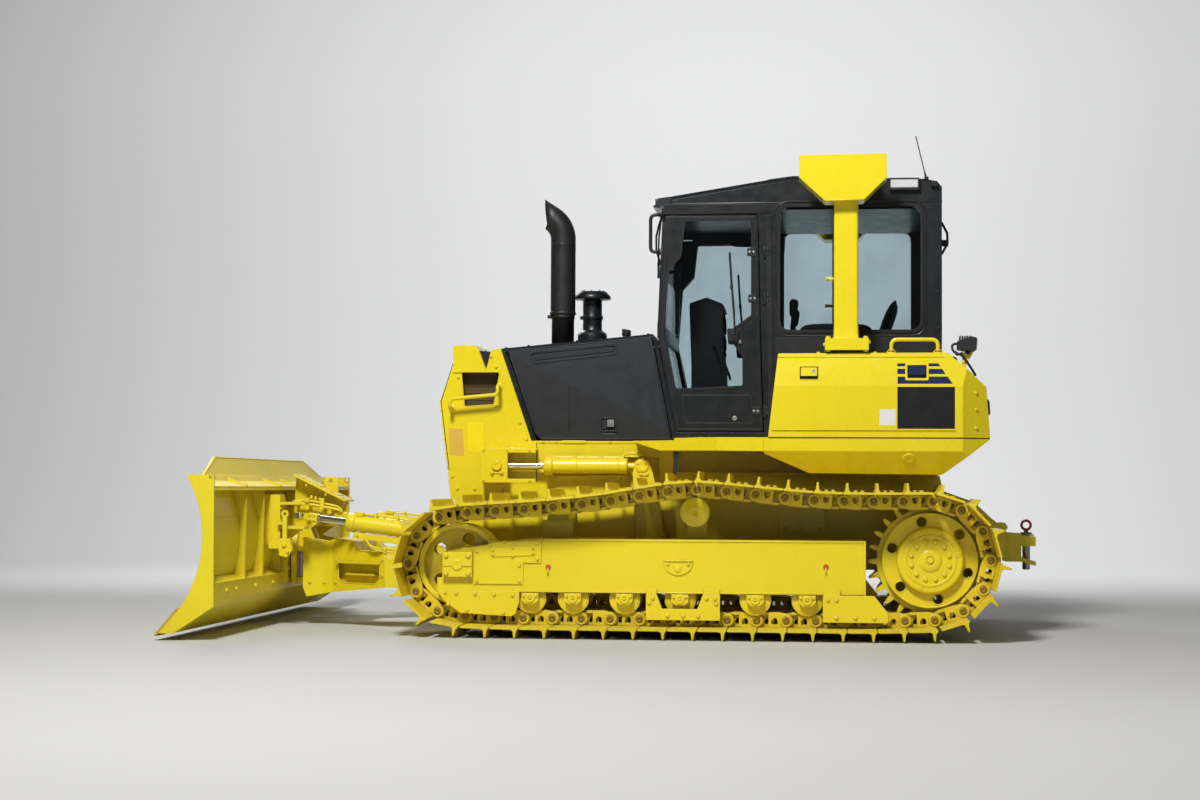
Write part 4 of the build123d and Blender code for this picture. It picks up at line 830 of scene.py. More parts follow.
# ------------------------------------------------------- guard, hood and deck
M["decal"] = surface("mat_orange_label", (0.74, 0.47, 0.07), (0.30, 0.42), crevice_shade_grime=0.15, dust=0.05, vary=0.05, bump=0.006, bevel=0.0)
M["decal2"] = surface("mat_yellow_label", (0.93, 0.76, 0.012), (0.22, 0.34), crevice_shade_grime=0.1, dust=0.03, vary=0.03, bump=0.006, bevel=0.0)
# darker copy of the hood side paint for the lower triangle of the covers: painted shade
M["hood_painted_shade"] = surface("mat_hood_painted_shade", (0.012, 0.014, 0.017), (0.42, 0.58), coat=0.05, coat_rough=0.3, crevice_shade_grime=0.2, dust=0.02, dust_rgb=(0.13, 0.13, 0.13), vary=0.12,
                       wear=0.3, wear_rgb=(0.10, 0.10, 0.10), bump=0.05)
# near-black for seams, slots and joints; also the painted shadow in the side box latches
M["groove"] = surface("mat_dark_groove_and_shade", (0.006, 0.006, 0.006), (0.7, 0.9), crevice_shade_grime=0.3, dust=0.02, vary=0.2, bump=0.02, bevel=0.0, spec=0.1)
# brown of the yellow paint as it looks in shadow, for the baffle in the vent window: painted shade
M["shade"] = surface("mat_shaded_paint", (0.085, 0.058, 0.008), (0.5, 0.7), crevice_shade_grime=0.4, dust=0.05, vary=0.15, bump=0.03, bevel=0.001)
M["keygrey"] = surface("mat_latch_grey", (0.34, 0.35, 0.36), (0.28, 0.44), metal=0.6, crevice_shade_grime=0.3, dust=0.05, vary=0.08, bump=0.02, bevel=0.001)

FY, HY, BY = 425.0, 400.0, 1000.0


def ring(g, pts, y0, y1, out=6.0, inn=2.0, r=8.0, n=5):
    """Raised frame along an outline in the side plane."""
    a, b = inset(pts, -out), inset(pts, inn)
    g.side(rounded(a, r + out, n), y0, y1, [rounded(b, max(2.0, r - inn), n)])


for s, side in SIDES:
    g, k, b, d1, d2 = Mesh(), Mesh(), Mesh(), Mesh(), Mesh()
    # blank labels
    d1.side(rounded([(2715, 1149), (2632, 1143), (2622, 990), (2705, 994)], 4), s * FY, s * (FY + 1.2))
    d2.side(rounded([(2604, 1186), (2514, 1180), (2510, 1006), (2598, 1010)], 4), s * FY, s * (FY + 1.2))
    # folded lip over the vent window, its dark shadow gap and the frame of the window
    g.side([(2690, 1477), (2428, 1475), (2428, 1469), (2640, 1469), (2690, 1466)], s * (FY - 2), s * (FY + 7))
    ring(g, [(2641, 1467), (2421, 1467), (2454, 1284), (2622, 1273)], s * (FY - 12), s * (FY + 1.2), 4, 1, 8)
    # baffle behind the vent window, in brown painted shade
    sh = Mesh()
    sh.side([(2660, 1490), (2405, 1490), (2420, 1250), (2650, 1250)], s * 352, s * 355)
    for z in (1310, 1350, 1390, 1430):
        sh.box(2430, 2640, s * 354, s * 358, z, z + 6)
    sh.make(side + "_guard_shade_baffle", "shade", "chassis", "body_paint")
    # seam between guard and frame, seam of the nose sheet
    for x, z0, z1 in ((2204, 846, 1066),):
        k.box(x - 1.6, x + 1.6, s * FY, s * (FY + 0.8), z0, z1)
    k.side([(2694, 1518), (2690, 1519), (2757, 1300), (2761, 1301)], s * FY, s * (FY + 0.8))
    k.side([(2757, 1302), (2761, 1301), (2711, 908), (2707, 908)], s * FY, s * (FY + 0.8))
    # bar ends, studs and bolts
    for x, z in ((2695, 1262), (2420, 1385)):
        g.turned((x, s * FY, z), (0, s, 0), [(-1, 22), (3, 22), (5, 19), (5, 12)], 24)
    b.bolt((2436, s * FY, 1270), (0, s, 0), 10, 8)
    for x, z in ((2470, 1560), (2440, 1500), (2300, 1180), (2262, 1085), (2660, 1440), (2560, 800), (2660, 800), (2690, 870), (2400, 790), (2270, 790)):
        b.bolt((x, s * FY, z), (0, s, 0), 8, 6)
    # frame flange under the hood and its rubber bump
    g.box(1425, 2196, s * (FY - 3), s * (FY + 3), 1062, 1076)
    for x in (1470, 1600, 1780, 2090, 2165):
        b.bolt((x, s * (FY + 3), 1069), (0, s, 0), 5.5, 4)
    g.side(rounded([(2066, 1062), (2058, 1079), (1922, 1079), (1914, 1062)], 5), s * (FY - 4), s * (FY + 6))
    # front pin of the lift cylinder: ring with the bore of the pin, and the winged keeper under it
    g.turned((2417, s * 536, 933), (0, s, 0), [(-2, 27), (8, 27), (10, 25), (10, 13), (-4, 12)], 32)
    g.side(rounded([(2452, 884), (2452, 900), (2427, 896), (2407, 896), (2382, 900), (2382, 884), (2407, 888), (2427, 888)], 3), s * 529, s * 536)
    for x in (2444, 2390):
        b.bolt((x, s * 536, 892), (0, s, 0), 9, 8)
    # bolts and weld beads of the pocket
    for x, z in ((2494, 1018), (2360, 1018), (2230, 1018), (2494, 848), (2230, 847)):
        b.bolt((x, s * 530, z), (0, s, 0), 6, 5)
    g.pipe([(2500, s * 428, 836), (2500, s * 428, 1030)], 3.5)
    g.pipe([(2200, s * 428, 1033), (2490, s * 428, 1033)], 3.5)
    # steel ledges behind the lift cylinder
    g.side(rounded([(2113, 878), (1700, 881), (1664, 874), (1672, 850), (2000, 846), (2113, 843)], 4), s * (FY - 2), s * (FY + 12))
    g.box(1500, 2150, s * (FY - 2), s * (FY + 5), 984, 990)
    for x in (1720, 1900, 2090):
        b.bolt((x, s * (FY + 12), 862), (0, s, 0), 7, 6)
    # main frame: access plate and its bolts
    g.side(rrect(560, 820, 560, 760, 24), s * (FY - 2), s * (FY + 5))
    for x in (590, 690, 790):
        for z in (582, 738):
            b.bolt((x, s * (FY + 5), z), (0, s, 0), 8, 6)
    g.make(side + "_guard_trim", "body", "chassis", "body_paint", bevel=1.0, seg=2)
    b.make(side + "_guard_bolts", "body", "chassis", "body_paint")
    k.make(side + "_guard_screen", "groove", "chassis", "black_paint")
    d1.make(side + "_label_orange", "decal", "chassis", "body_paint")
    d2.make(side + "_label_yellow", "decal2", "chassis", "body_paint")

# front of the guard
g, b, k = Mesh(), Mesh(), Mesh()
nf = Vector((0.992, 0, -0.127)).normalized()


def on_front(z):
    return 2717 + (z - 906) / 343 * 44 if z < 1249 else 2761


for y in (-394, 394):
    for z in range(840, 1260, 82):
        b.bolt((on_front(z) - 0.5, y, z), nf, 9, 7)
for y in range(-300, 301, 100):
    z = 1281
    b.bolt((on_front(1249) + 1.5, y, 1272), (0.99, 0, -0.12), 8, 6)
for y in (-372, 372):
    g.pipe([(on_front(812) + 1, y, 812), (on_front(1249) + 0, y, 1249)], 5)
for z in (812, 1250):
    g.pipe([(on_front(z) + 1, -372, z), (on_front(z) + 1, 372, z)], 5)
# frame and bars of the grille
for y in (-118, 118):
    g.front(rrect(y - 9, y + 9, 806, 1256, 3), 2712, 2716)
for i in range(16):
    z = 813 + 29 * i
    x = 2690 + (z - 802) / 458 * 54
    g.side([(x + 11, z - 6), (x + 18, z - 3), (x + 18, z + 3), (x + 11, z + 8)], -358, 358)
# raised badge left blank, lifting eye, nose lip
g.front(rrect(-150, 150, 1335, 1420, 10), 2716, 2748)
for y in (-330, 330):
    g.side(circle(2640, 1612, 22, 24), y - 8, y + 8, [circle(2640, 1616, 9, 16)])
g.box(2560, 2688, -FY + 6, -FY + 12, 1600, 1624)
g.box(2560, 2688, FY - 12, FY - 6, 1600, 1624)
g.make("guard_front_trim", "body", "chassis", "body_paint", bevel=1.0, seg=2)
b.make("guard_front_bolts", "body", "chassis", "body_paint")

for s, side in SIDES:
    body = side + "_engine_cover"
    lo, tr, bl, gy, wh = Mesh(), Mesh(), Mesh(), Mesh(), Mesh()
    # lower triangle of the cover below the diagonal crease: a thin skin in the darker copy of the paint, painted shade
    lo.side([(2357, 1571), (1446, 1137), (1438, 1088), (2177, 1088), (2211, 1123)], s * HY, s * (HY + 1.0))
    # long pressed grip: frame and the raised bar inside it
    rec = [(2256, 1583), (1750, 1632), (1754, 1578), (2222, 1527)]
    big = inset(rec, -7)
    tr.side(rounded(big, 26, 8), s * (HY - 1.5), s * (HY + 3.2), [rounded(inset(rec, 3), 20, 8)])
    tr.side(rounded(inset(rec, 13), 13, 8), s * (HY - 7), s * (HY - 2.6))
    tr.pipe([(2246, s * (HY + 1), 1577), (2000, s * (HY + 1), 1601), (1762, s * (HY + 1), 1624)], 2.6)
    # pressed edges
    tr.pipe([(1556, s * (HY + 0.5), 1662), (1444, s * (HY + 0.5), 1092)], 3.0)
    tr.pipe([(2362, s * (HY + 0.5), 1574), (2212, s * (HY + 0.5), 1128), (2178, s * (HY + 0.5), 1090), (1446, s * (HY + 0.5), 1090)], 3.0)
    for z0, z1, x in ((1128, 1386, 2020),):
        bl.box(x - 1.5, x + 1.5, s * HY, s * (HY + 1.5), z0, z1)
    # latch: frame, recess, paddle and lock
    tr.side(rrect(1744, 1842, 1130, 1213, 8), s * (HY + 6), s * (HY + 11), [rrect(1753, 1833, 1139, 1204, 4)])
    bl.side(rrect(1752, 1834, 1138, 1205, 4), s * (HY + 7.5), s * (HY + 8.6))
    gy.side(rrect(1760, 1800, 1158, 1198, 3), s * (HY + 8), s * (HY + 10.6))
    gy.turned((1779, s * (HY + 10), 1184), (0, s, 0), [(0, 9), (1.6, 9), (2.2, 8), (2.2, 3), (1, 2.5)], 20)
    tr.side(rrect(1804, 1828, 1146, 1196, 3), s * (HY + 8), s * (HY + 10.2))
    wh.box(1752, 1834, s * HY, s * (HY + 1.8), 1116, 1120)
    tr.make(side + "_cover_trim", "hoodside", body, "dark_paint", bevel=0.9, seg=2)
    lo.make(side + "_cover_painted_shade", "hood_painted_shade", body, "dark_paint")
    bl.make(side + "_cover_grooves", "groove", body, "black_paint")
    gy.make(side + "_cover_latch", "keygrey", body, "pin_steel", bevel=0.6, seg=1)
    wh.make(side + "_cover_strip", "trimgrey", body, "dark_paint")

# hood roof
g, k, b = Mesh(), Mesh(), Mesh()


def roof_strip(m, x0, x1, y0, y1, t=2.0, r=6):
    m.poly(rrect(x0, x1, y0, y1, r), [], lambda u, v, w: (u, v, hood_z(u) + w), -1.0, t)


for y in (-268, 232):
    roof_strip(g, 1600, 2340, y, y + 36, 4, 12)
roof_strip(k, 1640, 1655, -370, 370, 0.6, 3)
roof_strip(g, 2180, 2330, -90, 60, 3.0, 10)
for i in range(7):
    roof_strip(k, 2194 + 19 * i, 2203 + 19 * i, -76, 46, 3.8, 4)
for x in (1570, 1700, 1840, 1980, 2120, 2260, 2390):
    for y in (-376, 376):
        b.bolt((x, y, hood_z(x)), (0.095, 0, 0.995), 6.5, 5)
# filler: neck, winged cap
g.turned((1723, 50, 1676), (0, 0, 1), [(-2, 40), (6, 40), (9, 36), (9, 26)], 32)
k2 = Mesh()
k2.turned((1723, 50, 1706), (0, 0, 1), [(-2, 21.5), (-2, 27), (16, 27), (20, 24), (22, 12), (22, 4)], 28)
k2.side(rounded([(1700, 1722), (1746, 1722), (1752, 1740), (1740, 1744), (1706, 1738), (1694, 1731)], 4), 44, 56)
g.make("hood_roof_trim", "dark", "chassis", "dark_paint", bevel=0.8, seg=1)
k.make("hood_roof_grooves", "groove", "chassis", "black_paint")
b.make("hood_roof_bolts", "dark", "chassis", "dark_paint")
k2.make("hood_filler_cap", "black", "chassis", "black_paint", bevel=1.2, seg=2)

# ------------------------------------------------------------ exhaust stack
g = Mesh()
cx, cy, R0 = 2094.0, 100.0, 73.0
n = 48
path = [((cx, z), (0.0, 1.0)) for z in (1838, 1845, 2000, 2150, 2236, 2238)]
ctr, rb = (cx + 146.0, 2268.0), 146.0
path = path[:-2]
for t in range(180, 121, -4):
    a = math.radians(t)
    path.append(((ctr[0] + rb * math.cos(a), ctr[1] + rb * math.sin(a) * 1.0), (math.sin(a), -math.cos(a))))
tip_hi, tip_lo = (2205.0, 2540.0), (2190.0, 2404.0)
last_p, last_t = path[-1]


def ring_at(p, t, r):
    out = []
    for i in range(n):
        a = 2 * math.pi * i / n
        u, v = r * math.cos(a), r * math.sin(a)
        out.append((p[0] - t[1] * u, cy + v, p[1] + t[0] * u))
    return out


def cut(ring0, t):
    out = []
    nx, nz = tip_hi[1] - tip_lo[1], -(tip_hi[0] - tip_lo[0])
    for x, y, z in ring0:
        d = ((tip_hi[0] - x) * nx + (tip_hi[1] - z) * nz) / (t[0] * nx + t[1] * nz)
        out.append((min(x + t[0] * d, 2208.0), y, min(z + t[1] * d, 2540.0)))
    return out


outer = [ring_at(p, t, R0) for p, t in path]
inner = [ring_at(p, t, R0 - 5) for p, t in path[2:]]
outer.append(cut(outer[-1], last_t))
inner.append(cut(inner[-1], last_t))
g.loops(outer + list(reversed(inner)), caps=False)
g.add(inner[0], [tuple(range(n))])
# lower pipe, joint, clamp and its screw
g.turned((cx, cy, 1640), (0, 0, 1), [(0, 60), (0, 66), (178, 66), (180, 70), (184, 76), (196, 78), (199, 74), (201, 60)], 48)
g.turned((cx, cy, 1838), (0, 0, 1), [(-4, 60), (-4, 73), (6, 73)], 48)
g.turned((cx, cy, 1800), (0, 0, 1), [(0, 66), (0, 69.5), (22, 69.5), (22, 66)], 48)
g.box(cx + 64, cx + 88, cy + 18, cy + 26, 1801, 1821)
g.cyl((cx + 79, cy + 10, 1811), (cx + 79, cy + 38, 1811), 4, 12)
g.turned((cx, cy, 2236), (0, 0, 1), [(-3, 72.8), (-1, 74.2), (1, 74.2), (3, 72.8)], 48)
g.make("exhaust_stack", "black", "chassis", "black_paint", bevel=0.0, replaces=("exhaust_pipe",))

# intake pre-cleaner: waisted base, neck with a band, faceted cap
g = Mesh()
x, y = 1940.0, -100.0
z0 = hood_z(1940) + 6
g.turned((x, y, z0), (0, 0, 1), [(0, 60), (0, 88), (58, 88), (59, 87), (70, 82), (71, 80), (84, 62), (90, 58), (118, 57), (150, 57), (150, 61), (154, 63), (170, 63), (174, 61), (174, 57),
                                 (262, 57), (268, 66), (270, 108), (278, 109.5), (290, 107), (316, 84), (318, 60), (318, 10)], 48)
for i in range(8):
    a = 2 * math.pi * i / 8
    c, q = math.cos(a), math.sin(a)
    g.add([(x + 60 * c - 5 * q, y + 60 * q + 5 * c, z0 + 318), (x + 60 * c + 5 * q, y + 60 * q - 5 * c, z0 + 318), (x + 84 * c + 5 * q, y + 84 * q - 5 * c, z0 + 316),
           (x + 84 * c - 5 * q, y + 84 * q + 5 * c, z0 + 316), (x + 60 * c, y + 60 * q, z0 + 326)],
          [(0, 1, 2, 3), (0, 1, 4), (1, 2, 4), (2, 3, 4), (3, 0, 4)])
g.box(x + 50, x + 74, y - 10, y + 4, z0 + 152, z0 + 172)
g.cyl((x + 66, y - 20, z0 + 162), (x + 66, y + 14, z0 + 162), 4, 12)
for i in range(4):
    a = math.radians(45 + 90 * i)
    g.bolt((x + 86 * math.cos(a), y + 86 * math.sin(a), z0 + 30), (math.cos(a), math.sin(a), 0), 6, 5)
g.make("intake_pre_cleaner", "dark", "chassis", "black_paint", bevel=1.5, seg=2, replaces=("pre_cleaner",))

# black rubber sheet in the notch on top of the guard, bolted along its top: painted shade where the notch lies in
# shadow
g = Mesh()
g.side([(2562, 1600), (2512, 1478), (2488, 1478), (2457, 1584)], -384, 384)
for y in range(-360, 361, 90):
    g.bolt((2510, y, 1590), (0, 0, 1), 6, 5)
g.make("notch_shade_sheet", "rubber", "chassis", "black_paint", bevel=3.0, seg=2)

# rails: yellow bars on guard and side boxes, black grab loops ahead of the cab
g, k, b = Mesh(), Mesh(), Mesh()
for s, side in SIDES:
    g.pipe([(2695, s * 424, 1262), (2695, s * 505, 1262), (2695, s * 505, 1312), (2420, s * 505, 1338), (2420, s * 505, 1385), (2420, s * 424, 1385)], 11, 22, 16)
    g.pipe([(205, s * 930, 1547), (205, s * 930, 1620), (-45, s * 930, 1620), (-45, s * 930, 1547)], 11, 36, 16)
    k.pipe([(1474, s * 585, 2350), (1542, s * 585, 2350), (1542, s * 585, 2140), (1485.5, s * 585, 2140)], 10, 30, 16)
    for x, z, r in ((205, 1560, 20), (-45, 1560, 20)):
        g.turned((x, s * 930, z - 1), (0, 0, 1), [(0, r), (5, r), (6, r - 2), (6, 11)], 24)
    for x, z in ((1476, 2350), (1486, 2140)):
        k.turned((x, s * 585, z), (1, 0, 0), [(0, 19), (4, 19), (5, 17), (5, 10)], 24)
g.make("yellow_rails", "body", "chassis", "body_paint", bevel=0.0, replaces=("handrails",))
k.make("cab_grab_loops", "black", "chassis", "black_paint", bevel=0.0, replaces=("handrails",))

# ------------------------------------------------------- side boxes and deck
def lean(s):
    """Point on the box's outer face, t proud of it."""
    return lambda u, v, t: (u, s * (BY - (max(0.0, v - 1364) / 196.0) * 36.0 + t), v)


for s, side in SIDES:
    P = lean(s)
    y, st, pn, wl, k, b, gy = Mesh(), Mesh(), Mesh(), Mesh(), Mesh(), Mesh(), Mesh()
    put = lambda m, pts, t0, t1, holes=(): m.poly(pts, holes, P, t0, t1)
    # stripes, panel and label, all blank
    put(st, [(175, 1488), (-44, 1488), (-56, 1472), (175, 1472)], -0.5, 0.8)
    put(st, [(175, 1458), (131, 1458), (131, 1430), (175, 1430)], -0.5, 0.8)
    put(st, [(7, 1458), (-64, 1458), (-82, 1430), (7, 1430)], -0.5, 0.8)
    put(st, [(174, 1416), (-92, 1416), (-120, 1377), (174, 1377)], -0.5, 0.8)
    put(pn, [(172, 1360), (-131, 1360), (-131, 1135), (172, 1135)], -0.5, 1.0)
    put(wl, rounded([(270, 1240), (184, 1240), (184, 1152), (270, 1152)], 3), -0.5, 1.0)
    # latches: frame, paddle, black plate under the paddle as the painted shadow of the finger slot, lock
    for x0, x1, z0, z1, blue in ((600, 698, 1402, 1470, False), (19, 121, 1408, 1478, True)):
        if blue:
            put(y, rrect(x0 - 12, x1 + 12, z0 - 13, z1 + 11, 9), -1, 2.2, [rrect(x0, x1, z0, z1, 4)])
        else:
            put(y, rrect(x0 - 4, x1 + 4, z0 - 4, z1 + 4, 5), -1, 2.4, [rrect(x0, x1, z0, z1, 3)])
        # black plate left showing below the paddle: painted shadow of the finger slot
        put(k, [(x0, z0), (x1, z0), (x1, z1), (x0, z1)], -0.5, 0.9)
        put(st if blue else y, rrect(x0 + 5, x1 - 5, z0 + 17, z1 - 4, 4), 0, 3.4)
    gx, gz = 625, 1446
    gy.turned(P(gx, gz, 3.0), (0, s, 0.18), [(0, 10), (1.2, 10), (1.8, 9), (1.8, 3), (0.6, 2.5)], 24)
    # pressed line near the bottom, crease bead and lid seam
    put(k, [(849, 1122), (-136, 1122), (-136, 1125), (849, 1125)], -0.5, 0.7)
    put(y, [(846, 1119), (-140, 1119), (-140, 1122), (846, 1122)], -0.5, 2.0)
    put(k, [(172, 1362), (175, 1362), (175, 1130), (172, 1130)], -0.5, 0.6)
    put(k, [(822, 1520), (-80, 1520), (-80, 1522), (822, 1522)], -0.5, 0.6)
    # dark gap over the deck and the deck's seam
    k.box(-172, 868, s * (BY - 6), s * (BY + 0.4), 1083, 1088)
    k.add([(-173, s * (BY + 0.4), 1083), (-324, s * 891.5, 1083), (-324, s * 891.5, 1088), (-173, s * (BY + 0.4), 1088)], [(0, 1, 2, 3)])
    k.box(890.5, 893.5, s * 960, s * 970.8, 1013, 1086)
    # drain cover under the deck's edge
    b2 = math.radians(36)
    y.turned((114, s * 968, 976), (0, s * 0.80, -0.60), [(-6, 34), (5, 34), (8, 30), (8, 14), (5, 12)], 32)
    # lid studs and rail feet
    for x in (598, 293):
        b.bolt((x, s * 936, 1544), (0, 0, 1), 10, 8)
    for x in (205, -45):
        y.plan(circle(x, s * 930, 26, 28), 1543, 1551)
        for dx in (-19, 19):
            b.bolt((x + dx, s * 930, 1551), (0, 0, 1), 5.5, 4)
    # step grip on the fender beside the cab, in rows
    for i in range(8):
        for j in range(5):
            x = 930 + 44 * i + (22 if j % 2 else 0)
            yy = 700 + 46 * j
            if x > 1240 and yy > 860:
                continue
            y.turned((x, s * yy, 1086.5), (0, 0, 1), [(-1, 11), (1.4, 11), (2.2, 9), (1.2, 6)], 12)
    # rear corner bolts
    for z in (1140, 1240, 1330):
        b.bolt((-248, s * 946.2, z), (-0.58, s * 0.81, 0), 8, 6)
    y.make(side + "_box_trim", "body", "chassis", "body_paint", bevel=0.8, seg=2)
    b.make(side + "_box_bolts", "body", "chassis", "body_paint")
    st.make(side + "_box_stripes", "stripe", "chassis", "body_paint", bevel=0.2, seg=1)
    pn.make(side + "_box_panel", "panel", "chassis", "body_paint")
    wl.make(side + "_box_label", "white", "chassis", "body_paint")
    k.make(side + "_box_grooves_and_shade", "groove", "chassis", "black_paint")
    gy.make(side + "_box_lock", "keygrey", "chassis", "pin_steel")

# tank: filler, seams, tail lamps, rear screen
g, k, b, rl, bk = Mesh(), Mesh(), Mesh(), Mesh(), Mesh()
nr = Vector((-0.656, 0, 0.756)).normalized()


def on_tank(x):
    return 1547 + (x + 94) * (1547 - 1364) / 211.0


bk.turned((-170, 260, on_tank(-170)), nr, [(-4, 60), (5, 60), (9, 56), (9, 48), (26, 48), (32, 44), (34, 30), (34, 5)], 40)
for i in range(10):
    a = 2 * math.pi * i / 10
    d, u, w = Mesh.basis(nr)
    c = Vector((-170, 260, on_tank(-170))) + u * 48.5 * math.cos(a) + w * 48.5 * math.sin(a)
    bk.cyl(tuple(c + nr * 10), tuple(c + nr * 26), 4, 10)
tank = lambda u, v, t: tuple(Vector((v, u, on_tank(v))) + nr * t)
for y0, y1 in ((-560, -190), (-160, 160)):
    g.poly([(y0, -275), (y1, -275), (y1, -125), (y0, -125)], [], tank, -1, 3.5)
    for u in (y0 + 25, (y0 + y1) / 2, y1 - 25):
        for v in (-255, -145):
            b.bolt(tank(u, v, 3.5), nr, 7, 5)
back = lambda u, v, t: (-305 - (1364 - v) * 21 / 277.0 - t, u, v)
for y in (-655, 655):
    k.poly([(y - 1.5, 1092), (y + 1.5, 1092), (y + 1.5, 1360), (y - 1.5, 1360)], [], back, -0.5, 0.6)
g.poly(rrect(-560, 560, 1120, 1335, 18), [rrect(-535, 535, 1142, 1313, 12)], back, -1, 4)
for y in (-548, -274, 0, 274, 548):
    for z in (1131, 1324):
        b.bolt(back(y, z, 4), (-1, 0, 0.07), 7, 5)
for s in (1, -1):
    bk.poly(rrect(s * 760 - 62, s * 760 + 62, 1215, 1300, 12), [], back, -1, 14)
    rl.poly(rrect(s * 760 - 52, s * 760 + 4, 1225, 1290, 8), [], back, 12, 20)
    rl.poly(rrect(s * 760 + 10, s * 760 + 52, 1225, 1290, 8), [], back, 12, 18)
    # tie-down plates on the rear wall of the frame
    g.poly(rrect(s * 300 - 40, s * 300 + 40, 428, 584, 10), [], lambda u, v, t: (-420 - t, u, v), -1, 14)
    for z in (452, 560):
        for dy in (-24, 24):
            b.bolt((-434, s * 300 + dy, z), (-1, 0, 0), 8, 6)


def slope(u, v, t):
    """Point on the sloped rear cover of the frame."""
    return (-420 + 0.731 * v - 0.682 * t, u, 600 + 0.682 * v + 0.731 * t)


g.poly(rrect(-230, 230, 22, 184, 14), [], slope, -1, 6)
for y in range(-210, 211, 84):
    for v in (36, 170):
        b.bolt(slope(y, v, 6), (-0.682, 0, 0.731), 7, 5)
g.make("tank_trim", "body", "chassis", "body_paint", bevel=1.0, seg=2)
b.make("tank_bolts", "body", "chassis", "body_paint")
bk.make("tank_cap_and_lamp_bases", "black", "chassis", "black_paint", bevel=1.0, seg=1)
rl.make("tail_lenses", "redlens", "chassis", "lamp_lens", bevel=2.0, seg=2)
k.make("tank_seams", "groove", "chassis", "black_paint")

# -------------------------------------------------------------- roll-over bar
g, b = Mesh(), Mesh()
for s, side in SIDES:
    for x in (344, 546):
        for y in (844, 972):
            b.bolt((x, s * y, 1624), (0, 0, 1), 13, 11)
            b.cyl((x, s * y, 1552), (x, s * y, 1562), 14, n=6)
    b.bolt((563, s * 975, 1590), (1, 0, 0.0), 9, 8)
    b.bolt((327, s * 975, 1604), (-1, 0, 0.0), 9, 8)
    # flared foot of the post and weld beads
    prof = [(70, 66, 1622), (70, 66, 1626), (68, 64, 1640), (66.4, 62.4, 1668), (66, 62, 1690)]
    rings = []
    for a, c, z in prof:
        rings.append([(449 + p, s * 904 + q, z) for p, q in rrect(-a - 0.4, a + 0.4, -c - 0.4, c + 0.4, 17, 6)])
    g.loops(rings, caps=False)
    g.tube_raw([Vector((449 + p, s * 904 + q, 1625)) for p, q in rrect(-72, 72, -68, 68, 18, 6)] + [Vector((449 + 72, s * 904 - 50, 1625))], 4, 8)
    for yy in (846, 1030):
        g.pipe([(357, s * yy, 2371), (562, s * yy, 2367)], 3)
    # stub of a bracket ahead of the post
    g.cyl((505, s * 904, 1954), (556, s * 904, 1954), 9, 18)
    g.turned((549, s * 904, 1954), (1, 0, 0), [(0, 12), (8, 12), (9, 10)], 18)
g.make("roll_bar_trim", "body", "chassis", "body_paint")
b.make("roll_bar_bolts", "body", "chassis", "body_paint")
# ------------------------------------------------------------------------- cab
CY = 650.0
DOOR_WIN = [(1344, 2308), (971, 2311), (970, 1776), (1083, 1693), (1081, 1634), (1018, 1542), (1017, 1380),
            (1393, 1363), (1462, 1682), (1436, 2031), (1366, 2109)]
DOOR = [(1455, 2336), (1486, 1684), (1386, 1128), (905, 1128), (925, 1700), (940, 2336)]
M["trimdark"] = surface("mat_cab_trim", (0.013, 0.016, 0.021), (0.30, 0.46), coat=0.2, coat_rough=0.2, crevice_shade_grime=0.2, dust=0.05, dust_rgb=(0.13, 0.13, 0.13), vary=0.15, bump=0.03)

